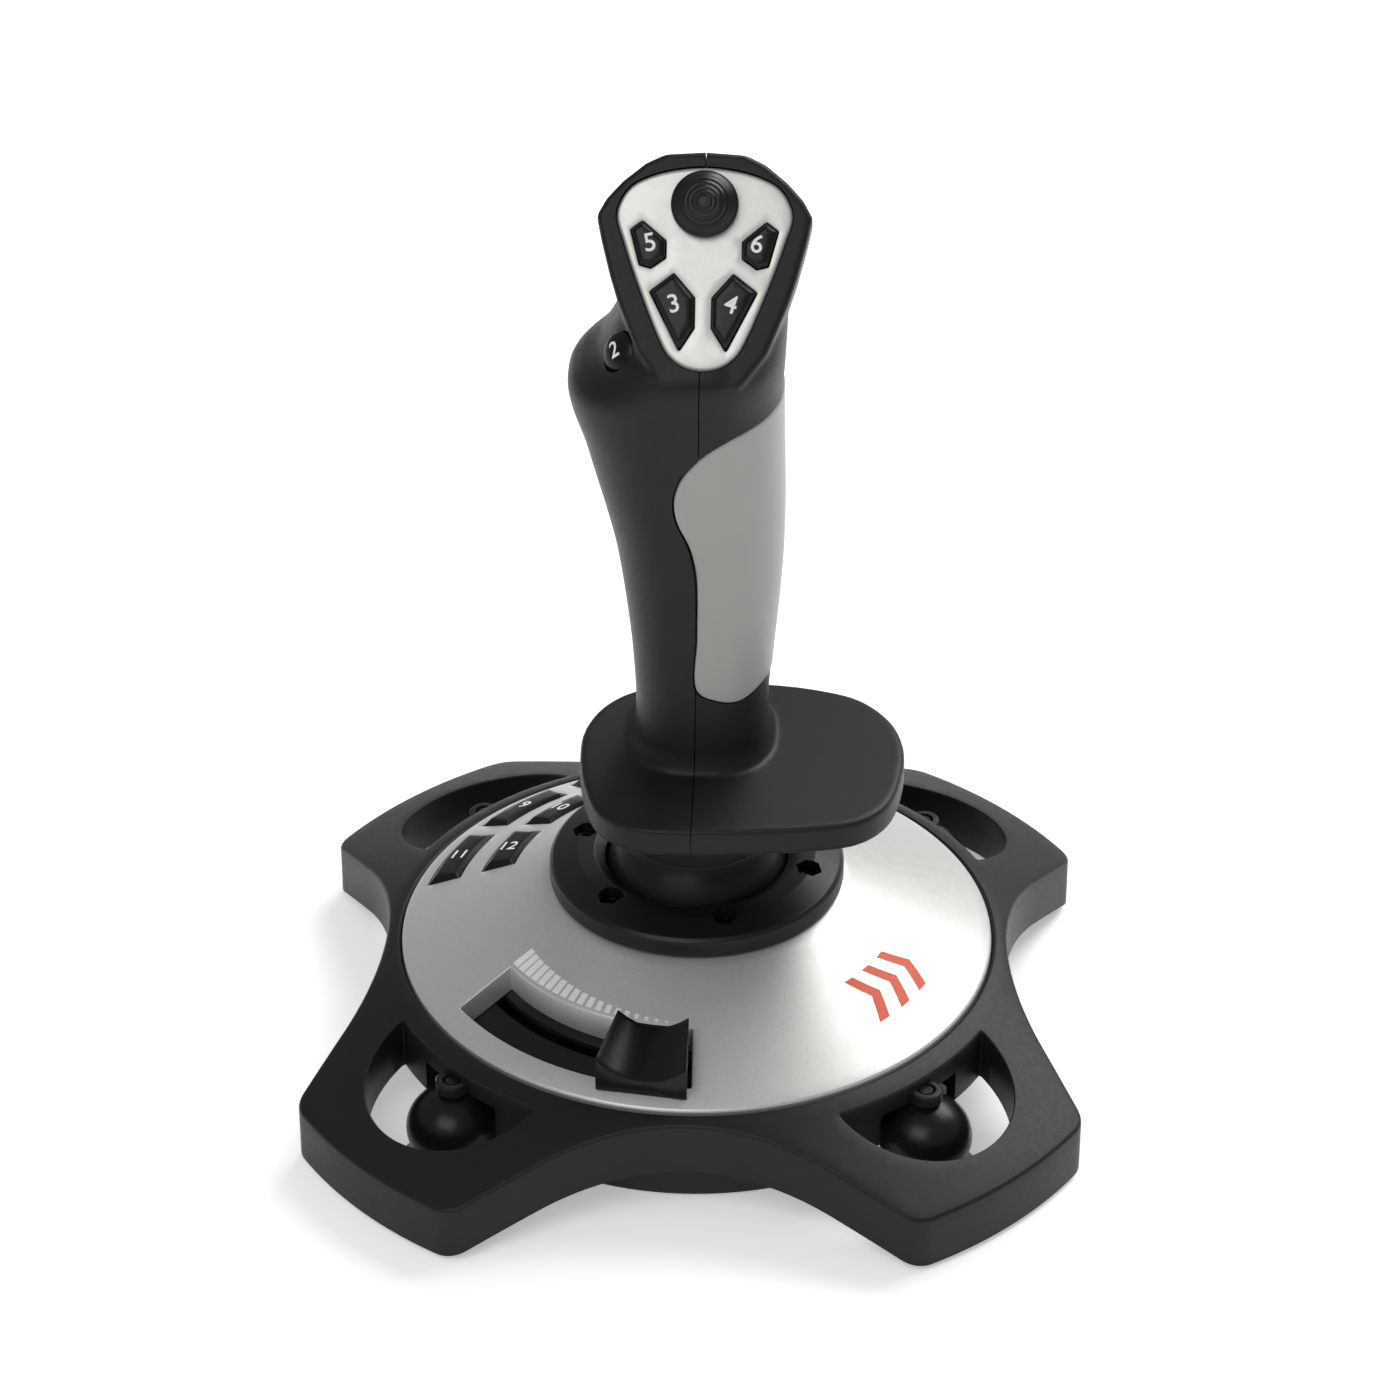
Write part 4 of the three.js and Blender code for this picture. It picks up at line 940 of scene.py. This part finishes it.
def build_keys():
    """Six caps with sloping sides, standing out of their pockets, and their printed numerals."""
    number = 7
    for angle in KEY_CENTRES:
        for row, (r0, r1) in enumerate(KEY_ROWS):
            def top(r, r0=r0, r1=r1):
                t = (r - r0) / (r1 - r0)
                return plate_top(r) + KEY_PROUD[0] + (KEY_PROUD[1] - KEY_PROUD[0]) * t

            node = f"button_{number}"
            proud = KEY_PROUD[1]
            sides = [(-KEY_BEVEL - 0.35, 0), (-KEY_BEVEL - 0.1, 0.06), (-0.25, proud - 0.25), (-0.05, proud),
                     (0, proud + 0.3), (0, proud + 3.2)]
            outline = partial(key_cap_outline, row, angle)
            cap = panel(f"key_{number}", (outline, sides), [], coned(top), key_black, step=1.6)
            handed_in(cap, node, node)
            digits(f"key_{number}_numeral", str(number), 5.6, coned(top), polar((r0 + r1) / 2, angle),
                   angle - 180, node)
            number += 1


def joined(name, pieces):
    """Several meshes as one object."""
    vertices, faces, start = [], [], 0
    for piece in pieces:
        vertices.append(np.array([v.co for v in piece.data.vertices]) / MM)
        faces += [[start + v for v in p.vertices] for p in piece.data.polygons]
        start += len(piece.data.vertices)
    material = pieces[0].data.materials[0] if pieces[0].data.materials else None
    for piece in pieces:
        removed(piece)
    return make_object(name, np.concatenate(vertices), faces, material)


# ------------------------------------------------------------------------- print on the plate


def printed(name, outlines, ink):
    """Flat ink shapes on the top plate, a tenth of a millimetre thick."""
    film = coned(lambda r: plate_top(r) + INK_LIFT)
    sheet = [(0, 0), (0, 0.1)]
    shapes = [panel("ink", (counterclockwise(loop), sheet), [], film, ink) for loop in outlines]
    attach(joined(name, shapes), "base")


def build_scale():
    """Bars that run along the throttle slot and shrink and thin out towards its closed end."""
    count = 19
    bars = []
    for i in range(count):
        t = i / (count - 1)
        middle = SLOT[2] + 0.6 + i * 2.75
        half = 1.12 * (1 - 0.65 * t ** 2)
        inner = 51.4 + 4.9 * t
        bars.append(sector(inner, 57.1 - 0.3 * t, middle - half, middle + half, 0.1, 1.2))
    printed("throttle_scale", bars, white_ink)


def build_mark():
    """A plain row of three chevrons pointing round the plate."""
    radius, middle, half, stroke, reach = 62, -32.5, 6.6, 3.4, 3.8
    shapes = []
    for shift in (-8, 0, 8):
        chevron = [(0, -half), (stroke, -half), (stroke + reach, 0), (stroke, half), (0, half), (reach, 0)]
        outline = densified(np.array(chevron, float), 1.0)
        angle = middle + np.degrees((outline[:, 0] + shift - reach) / radius)
        shapes.append(np.stack([
            (radius + outline[:, 1]) * np.cos(np.radians(angle)),
            (radius + outline[:, 1]) * np.sin(np.radians(angle)),
        ], axis=1))
    printed("plate_mark", shapes, orange_ink)


# ------------------------------------------------------------------------- throttle

KNOB_ANGLE = 18
KNOB_MIDDLE = -90 - KNOB_ANGLE / 2


def build_knob():
    """A wedge with a saddle across its top, standing over the slot's outer edge."""
    inner, outer = 60.2, 77.6
    rings = []
    for r in np.linspace(inner, outer, 12):
        t = np.linspace(1, -1, 19)
        dip = 3.8 + 1.4 * (r - inner) / (outer - inner)
        crest = 48.4 - 0.235 * (r - inner) - dip * (1 - t * t)
        turn = np.concatenate([[-1, 1], t]) * KNOB_ANGLE / 2
        height = np.concatenate([[plate_top(r) + 0.5] * 2, crest])
        rings.append(np.column_stack([polar(r, KNOB_MIDDLE + turn), height]))
    knob = loft("thumb_wedge", rings, key_black)
    bevelled(knob, 0.4, 3, 32)
    handed_in(knob, "throttle", "throttle_knob")
    foot_outline = sector(SLOT[0] + 0.6, SLOT[1] - 0.6, KNOB_MIDDLE - 8.4, KNOB_MIDDLE + 8.4, 0.4, 1.5)
    foot = panel("thumb_wedge_foot", (foot_outline, [(0, 0), (0, 6.2)]), [],
                 coned(lambda r: plate_top(r) + 1.2), hub_black)
    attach(foot, "throttle")


# ------------------------------------------------------------------------- grip

REST_LOW_Z = 89
REST_TOP_Z = 97
LEAN = 2.3 / 167
GAP = 0.3
GRIP_WALL = 2.8
PANEL_THICK = 2
VOXEL = 0.7

# Column sections: height, left, right, user side and far side. The left swells into a thumb ledge.
COLUMN = np.array([
    [90, -18.6, 21.6, -21.6, 22.6],
    [97, -18.6, 21.6, -21.6, 22.6],
    [98.4, -16.8, 19.8, -19.7, 20.7],
    [103, -15.9, 19, -18.7, 19.7],
    [110, -15.9, 19, -18.6, 19.6],
    [125, -16.6, 20, -18.9, 19.4],
    [141, -18.1, 21.4, -20.3, 19.5],
    [159, -20.5, 22.5, -22.5, 20],
    [171, -23, 22.7, -24.5, 20.4],
    [180, -25.2, 22.6, -26, 20.8],
    [192, -28.1, 22.4, -28.2, 21.3],
    [209, -32.3, 22.2, -31.3, 22],
    [211.5, -31.3, 22.4, -32, 22.2],
    [218.5, -24, 22.8, -32.9, 22.6],
    [229, -18.4, 23.2, -25.6, 22],
    [238, -15, 18, -17, 19],
], float)
COLUMN_POWER = 2.5

# Hand rest seen from above.
REST = [
    (-17, 20.5), (-25, 13), (-29.6, 2), (-30.4, -9), (-28.6, -25), (-24, -38), (-15, -44.8),
    (0, -46), (14, -45.2), (30, -43.6), (43, -40), (50.5, -32), (54.4, -17), (54.6, -3),
    (51, 8.5), (43, 18), (32, 22.6), (18, 25), (0, 25),
]

# Side panel outline in X and Z, seen from the user's side.
PANEL = [
    (21.5, 206), (12.5, 204), (5, 200.2), (1, 196.6), (-3, 190.6), (-4.8, 184), (-4.2, 177.4),
    (-0.9, 168.6), (0.7, 159.6), (0.8, 140), (0.8, 122), (5, 119.4), (11.5, 118.2), (18.5, 121),
    (30, 123), (30, 206),
]
PANEL_BACK_Y = 6
GRIP_SCREWS = ((12, 128), (10, 196))
SCREW_HEAD_X = 12
TRIGGER_PIN = (19, 233)
PIN_BORE = 1.65

# The head's own frame lies in its face: X across, Y up the face and Z out of it.
FACE = Matrix.Translation((2.3, -14.45, 243.5)) @ Matrix.Rotation(math.radians(55), 4, "X")
RIM = 1
HAT_AT = 15.8
HEAD_HALF = [
    (0, 29.1), (10, 28.4), (14.7, 26.2), (20.3, 21.7), (24.3, 17.3), (26.7, 13), (25.4, 6.9),
    (23.1, -2), (21, -8.6), (16, -21), (9.5, -29.5), (0, -31),
]
HEAD_LAYERS = np.array([
    [RIM, 0.975, 0], [0, 1, 0], [-12, 1, 0], [-23, 0.93, -1], [-32, 0.78, -3], [-38, 0.52, -5],
], float)
FACE_HALF = [
    (0, 25.2), (6, 24.7), (12.6, 23.2), (18.3, 20.3), (21.2, 15.8), (21.7, 12.6), (20, 6.9),
    (17.7, 0), (14.1, -9.4), (11, -16.8), (8.4, -21.4), (4.5, -24.3), (0, -25.2),
]
BUTTON_2 = Matrix.Translation((-18.2, -18.8, 222.4)) @ (
    Vector((0, 0, 1)).rotation_difference(Vector((-0.66, -0.58, 0.47))).to_matrix().to_4x4()
)


def seam_x(z):
    return LEAN * (z - REST_TOP_Z)


def blended(rows, where):
    """Rows of a table between its own, on smooth curves that don't overshoot."""
    key, values = rows[:, 0], rows[:, 1:]
    if key[0] > key[-1]:
        key, values = key[::-1], values[::-1]
    gap = np.diff(key)[:, None]
    slope = np.diff(values, axis=0) / gap
    inner = np.where(
        slope[:-1] * slope[1:] > 0,
        2 * slope[:-1] * slope[1:] / np.where(slope[:-1] + slope[1:] == 0, 1, slope[:-1] + slope[1:]), 0,
    )
    tangent = np.concatenate([slope[:1], inner, slope[-1:]])
    i = np.clip(np.searchsorted(key, where) - 1, 0, len(key) - 2)
    t = ((where - key[i]) / np.diff(key)[i])[:, None]
    h = gap[i]
    return (
        (2 * t ** 3 - 3 * t ** 2 + 1) * values[i] + (t ** 3 - 2 * t ** 2 + t) * h * tangent[i]
        + (3 * t ** 2 - 2 * t ** 3) * values[i + 1] + (t ** 3 - t ** 2) * h * tangent[i + 1]
    )


def bulge(value, power):
    return np.sign(value) * np.abs(value) ** power


def column_point(angle, z, grow=0.0):
    """Points of the column's skin at angles in radians (0 is +X) and heights."""
    left, right, front, back = blended(COLUMN, np.asarray(z, float)).T
    x = (left + right) / 2 + ((right - left) / 2 + grow) * bulge(np.cos(angle), 2 / COLUMN_POWER)
    y = (front + back) / 2 + ((back - front) / 2 + grow) * bulge(np.sin(angle), 2 / COLUMN_POWER)
    return np.stack([x, y, z], axis=-1)


def column(name, grow=0.0, low=90, high=238, sides=112, step=2.0):
    angle = 2 * math.pi * (np.arange(sides) + 0.5) / sides
    levels = np.linspace(low, high, max(2, round((high - low) / step)) + 1)
    return loft(name, [column_point(angle, np.full(sides, z), grow) for z in levels], None)


def hand_rest():
    outline = counterclockwise(smooth_loop(REST, 1.5))
    layers = [(REST_LOW_Z, -0.8), (REST_LOW_Z + 0.7, 0), (REST_TOP_Z - 0.8, 0), (REST_TOP_Z, -0.8)]
    rings = [np.column_stack([offset_loop(outline, inset), np.full(len(outline), z)]) for z, inset in layers]
    return loft("rest", rings, None)


def head_body():
    outline = densified(rounded(counterclockwise(mirrored(HEAD_HALF)), 2.4), 1.4)
    levels = np.concatenate([[RIM], np.linspace(0, -38, 20)])
    rings = []
    for z, (scale, drop) in zip(levels, blended(HEAD_LAYERS, levels)):
        flat = outline * scale + np.array([0, drop])
        rings.append(moved(np.column_stack([flat, np.full(len(flat), z)]), FACE))
    return loft("head", rings, None)


def face_outline(grow=0.0, step=1.5):
    return offset_loop(counterclockwise(smooth_loop(mirrored(FACE_HALF), step)), grow)


def side_rod(name, radius, x0, x1, y, z, segments=32):
    """A round rod along X, for cutting."""
    turn = Matrix.Rotation(math.radians(90), 4, "Y")
    profile = [(0, x0), (radius, x0), (radius, x1), (0, x1)]
    return revolve(name, profile, None, (0, y, z), segments, turn)


# The side panel lives on the column's skin, in angle times a mean radius, and height.
SKIN_RADIUS = 21


def skin_place(lift):
    def place(s, z, h):
        angle, tiny = s / SKIN_RADIUS, 1e-3
        around = column_point(angle + tiny, z) - column_point(angle - tiny, z)
        along = column_point(angle, z + 0.05) - column_point(angle, z - 0.05)
        normal = np.cross(around, along)
        normal /= np.linalg.norm(normal, axis=1)[:, None]
        return column_point(angle, z) + normal * (h + lift)[:, None]
    return place


def side_panel_outline():
    """The panel's outline on the column's skin: the visible edge, and round corners at the back."""
    loop = smooth_loop(PANEL, 1.2)
    left, right = blended(COLUMN, loop[:, 1]).T[:2]
    share = (loop[:, 0] - (left + right) / 2) / ((right - left) / 2)
    visible = share < 0.995
    first = next(i for i in range(len(loop)) if visible[i] and not visible[i - 1])
    order = [(first + k) % len(loop) for k in range(len(loop))]
    order = [i for i in order if visible[i]]
    angle = -np.arccos(bulge(np.clip(share[order], -1, 1), COLUMN_POWER / 2))
    edge = np.column_stack([angle * SKIN_RADIUS, loop[order, 1]])
    ends = []
    for z in (edge[-1, 1], edge[0, 1]):
        _, _, near, far = blended(COLUMN, np.array([z]))[0]
        reach = (PANEL_BACK_Y - (near + far) / 2) / ((far - near) / 2)
        ends.append((SKIN_RADIUS * math.asin(bulge(reach, COLUMN_POWER / 2)), z))
    back = rounded([edge[-1], *ends, edge[0]], 2, closed=False)[1:-1]
    return counterclockwise(densified(np.concatenate([edge, back]), 1.4))


def grip_cutters():
    """Everything that is taken out of the solid grip."""
    bosses = [side_rod("boss", 3.6, -30, 30, y, z) for y, z in GRIP_SCREWS]
    cavity = column("cavity", -GRIP_WALL, 112, 236, 48, 4)
    with_boolean(cavity, block("depth", (-50, -23, 100), (50, 50, 250)), "INTERSECT")
    for boss in bosses:
        with_boolean(cavity, boss)
    sizes = ((3.1, SCREW_HEAD_X - 2), (1.6, -12))
    recesses = [side_rod("recess", r, x0, 40, y, z) for y, z in GRIP_SCREWS for r, x0 in sizes]
    half, at, pin_x = 7, seam_x(218), seam_x(TRIGGER_PIN[1])
    bore = [(0, -6), (5.4, -6), (5.4, 20), (0, 20)]
    thumb_bore = revolve("thumb_bore", bore, None, BUTTON_2.translation, 48, BUTTON_2)
    outline = offset_loop(side_panel_outline(), GAP)
    above = 4
    thick = above + PANEL_THICK + GAP
    return [
        cavity,
        prism("head_upper", face_outline(-1), -7, 5, FACE),
        prism("head_lower", face_outline(-2.6), -14, -6, FACE),
        prism("plate_seat", face_outline(GAP), -2 - GAP, 6, FACE),
        upright_rod("shaft_room", 11, 93, 113, (0, 0)),
        upright_rod("shaft_bore", 3.6, 80, 100, (0, 0)),
        block("trigger_room", (at - half, 9, 199), (at + half, 60, 238.5)),
        thumb_bore,
        panel("panel_pocket", (outline, [(0, 0), (0, thick)]), [], skin_place(above), None, step=2.5),
        side_rod("pin_room", PIN_BORE, pin_x - 10, pin_x + 10, *TRIGGER_PIN),
        *recesses,
    ]


def build_grip():
    """The two grip shells: lofted parts fused into one skin, softened, hollowed and split at the seam."""
    parts = [column("trunk"), head_body(), hand_rest()]
    whole = joined("grip_skin", parts)
    remesh = whole.modifiers.new("fuse", "REMESH")
    remesh.mode = "VOXEL"
    remesh.voxel_size = VOXEL * MM
    soften = whole.modifiers.new("soften", "SMOOTH")
    soften.factor = 0.5
    soften.iterations = 3
    settled(whole)
    for cutter in grip_cutters():
        with_boolean(whole, cutter)
    lean = Matrix.Translation((0, 0, REST_TOP_Z)) @ Matrix.Rotation(math.atan(LEAN), 4, "Y")
    for side, node in ((-1, "grip_left"), (1, "grip_right")):
        half = whole.copy()
        half.data = whole.data.copy()
        half.name = half.data.name = f"{node}_shell"
        bpy.context.scene.collection.objects.link(half)
        low, high = sorted((side * 80, side * 0.13))
        with_boolean(half, block("side", (low, -90, -40), (high, 90, 200), lean), "INTERSECT")
        dressed(half, black)
        smooth_shaded(half)
        handed_in(half, "grip", node)
    removed(whole)


def build_side_panel():
    rim = round_over(0.7, 4) + [(0, PANEL_THICK + 0.2)]
    insert = panel("side_insert", (side_panel_outline(), rim), [], skin_place(0.25), grey_coat, step=1.8)
    handed_in(insert, "grip", "side_panel")


def build_grip_screws():
    for k, (y, z) in enumerate(GRIP_SCREWS, 1):
        matrix = Matrix.Translation((SCREW_HEAD_X - 1.7, y, z)) @ Matrix.Rotation(math.radians(90), 4, "Y")
        screw(f"grip_screw_{k}", "grip", matrix, 2.7, 1.25, 19)


# ------------------------------------------------------------------------- trigger and thumb button

TRIGGER = [
    (16.5, 237.5), (21, 238.4), (25, 235), (27.6, 229), (28.2, 222), (28.2, 214), (29.4, 207),
    (32.6, 201.4), (31.4, 198.6), (28.6, 199.6), (25, 205), (23.6, 212), (22.4, 220), (17, 226),
    (15, 232),
]


def build_trigger():
    half = 6.5
    right = seam_x(218) + half

    def place(y, z, h):
        return np.stack([right + h, y, z], axis=1)

    edge = round_over(1.4, 5)
    wall = edge + [(out, 2 * half - drop) for out, drop in reversed(edge)]
    outline = counterclockwise(smooth_loop(TRIGGER, 1.1))
    hole = (circle(PIN_BORE, 0.8, TRIGGER_PIN), [(0, 0), (0, 2 * half)])
    piece = panel("trigger_lever", (outline, wall), [hole], place, key_black, step=2)
    handed_in(piece, "trigger", "trigger")


def thumb_cap_top(r):
    return 2.1 - 0.03 * r ** 2 - 0.0007 * r ** 4


def build_thumb_button():
    dome = [(r, thumb_cap_top(r)) for r in np.linspace(0, 4.75, 14)]
    profile = dome + [(4.98, 0.8), (5.1, 0.3), (5.1, -5), (0, -5)]
    piece = revolve("thumb_cap", profile, key_black, BUTTON_2.translation, 64, BUTTON_2)
    handed_in(piece, "button_2", "button_2")

    def place(x, y, h):
        return moved(np.stack([x, y, thumb_cap_top(np.hypot(x, y)) + h], axis=1), BUTTON_2)

    digits("thumb_numeral", "2", 6.0, place, (-0.2, 0.6), 0, "button_2")


# ------------------------------------------------------------------------- head

FACE_CROWN = 0.5
LOWER_BUTTON = [(7.3, -0.9), (13.4, -5.6), (5.8, -20.6), (2, -14.6), (2, -7)]
UPPER_BUTTON = [(15.3, 12), (18.4, 9.7), (16, 0.8), (13, 0), (9.3, 2.6), (9.3, 7)]
FACE_BUTTONS = (
    (3, LOWER_BUTTON, -1, (7.3, -8.6), 14),
    (4, LOWER_BUTTON, 1, (6.9, -8.6), -17),
    (5, UPPER_BUTTON, -1, (13.4, 6.4), 11),
    (6, UPPER_BUTTON, 1, (13.1, 6.4), -14),
)


def crowned(x, y, h):
    """A place function for the slightly crowned face."""
    rise = FACE_CROWN * (1 - np.clip(x / 22, -1, 1) ** 2)
    return moved(np.stack([x, y, h + rise], axis=1), FACE)


def button_outline(points, side, grow):
    outline = counterclockwise([(x * side, y) for x, y in points])
    return rounded(offset_loop(outline, grow), 0.5, steps=3)


def thumb_key_outline(points, side, out):
    return button_outline(points, side, out - 0.4)


def build_face():
    rim = round_over(0.9, 5) + [(0, 2)]
    mouth = round_over(0.25, 2) + [(0, 2)]
    holes = [(button_outline(points, side, 0), mouth) for _, points, side, _, _ in FACE_BUTTONS]
    holes.append((circle(4.2, 1, (0, HAT_AT)), mouth))
    plate = panel("face_cover", (face_outline(), rim), holes, crowned, pearl, step=1.8)
    handed_in(plate, "grip", "face_plate")
    for number, points, side, (x, y), turn in FACE_BUTTONS:
        node = f"button_{number}"
        sides = [(-1.0, 0), (-0.85, 0.05), (-0.12, 0.75), (0, 1.0), (0, 7.3)]
        top = 1.7

        def place(a, b, h):
            return crowned(a, b, h + top)

        outline = partial(thumb_key_outline, points, side)
        cap = panel(f"thumb_key_{number}", (outline, sides), [], place, key_black, step=1.4)
        handed_in(cap, node, node)
        digits(f"thumb_key_{number}_numeral", str(number), 6.4, place, (x * side, y), turn, node)


def build_hat():
    """The mushroom cap, with raised rings round its crown."""
    radius, low = 8.35, 2.0
    crown = []
    for t in np.linspace(0, 1, 90):
        r = 7.9 * t
        ridge = 0.1 * math.sin(2 * math.pi * r / 1.15) if 1.1 < r < 7.0 else 0
        crown.append((r, 8.6 - 0.052 * r ** 2 - 0.00032 * r ** 4 + ridge))
    rim = [(8.25, 4.0), (radius, 3.3), (radius, 2.6), (8.1, 2.1), (7.7, low)]
    stem = [(2.2, low), (2.2, -7.6), (0, -7.6)]
    middle = moved([(0, HAT_AT, 0)], FACE)[0]
    cap = revolve("hat_crown", crown + rim + stem, rubber, middle, 96, FACE)
    handed_in(cap, "hat_cap", "hat_cap")


# ------------------------------------------------------------------------- parts kept from the CAD

KEPT_LOOKS = {
    "steel": zinc,
    "inner_plastic": dark_inner,
    "circuit_board": green_board,
    "black_plastic": hub_black,
    "black_rubber": rubber,
    "key_plastic": key_black,
}


def dress_kept_nodes():
    """Materials for the parts inside, which keep their CAD shape."""
    for piece in frame["nodes"].values():
        if not piece.hide_render:
            piece.material_slots[0].material = KEPT_LOOKS[piece.data.materials[0].name.split(".")[0]]
    frame["nodes"]["throttle_sensor"].material_slots[0].material = carbon


# ------------------------------------------------------------------------- the scene around it


def build_camera():
    camera = bpy.data.objects.new("camera", bpy.data.cameras.new("camera"))
    bpy.context.scene.collection.objects.link(camera)
    place, aim = Vector((36.8, -1096, 827)), Vector((0.88, 0.03, 107.35))
    camera.location = place * MM
    camera.rotation_euler = (aim - place).to_track_quat("-Z", "Y").to_euler()
    camera.data.lens = 128
    camera.data.sensor_width = 36
    camera.data.clip_start = 0.05
    camera.data.clip_end = 20
    bpy.context.scene.camera = camera


def area_light(name, place, aim, size, power):
    light = bpy.data.lights.new(name, "AREA")
    light.shape = "RECTANGLE"
    light.size, light.size_y = size
    light.energy = power
    lamp = bpy.data.objects.new(name, light)
    bpy.context.scene.collection.objects.link(lamp)
    lamp.location = Vector(place)
    lamp.rotation_euler = (Vector(aim) - Vector(place)).to_track_quat("-Z", "Y").to_euler()


def build_floor():
    look = Look("studio_floor", roughness=0.9, specular=0.1)
    look.colour(look.blend(look.noise(40, 2), (0.93, 0.93, 0.93), (0.95, 0.95, 0.95)))
    look.shader.inputs["Emission Color"].default_value = (1, 1, 1, 1)
    look.shader.inputs["Emission Strength"].default_value = 0.38
    half = 6000
    corners = [(-half, -half, 0), (half, -half, 0), (half, half, 0), (-half, half, 0)]
    floor = make_object("floor", corners, [[0, 1, 2, 3]], look.material, smooth=False)


def build_studio():
    world = bpy.data.worlds.new("studio")
    bpy.context.scene.world = world
    world.use_nodes = True
    background = world.node_tree.nodes["Background"]
    background.inputs["Color"].default_value = (1, 1, 1, 1)
    background.inputs["Strength"].default_value = 0.3
    area_light("key_light", (0.9, 1.1, 1.5), (0, 0, 0.05), (1.6, 1.2), 36)
    area_light("front_light", (-0.5, -1.3, 1.6), (0, 0, 0.1), (1.4, 1.0), 13)
    bpy.context.scene.view_settings.view_transform = "Standard"


build_camera()
build_shell()
build_cover()
build_cover_screws()
build_cups()
build_inlet()
build_plate()
build_track()
build_hub()
build_dome()
build_keys()
build_scale()
build_mark()
build_knob()
build_grip()
build_side_panel()
build_grip_screws()
build_trigger()
build_thumb_button()
build_face()
build_hat()
dress_kept_nodes()
build_floor()
build_studio()
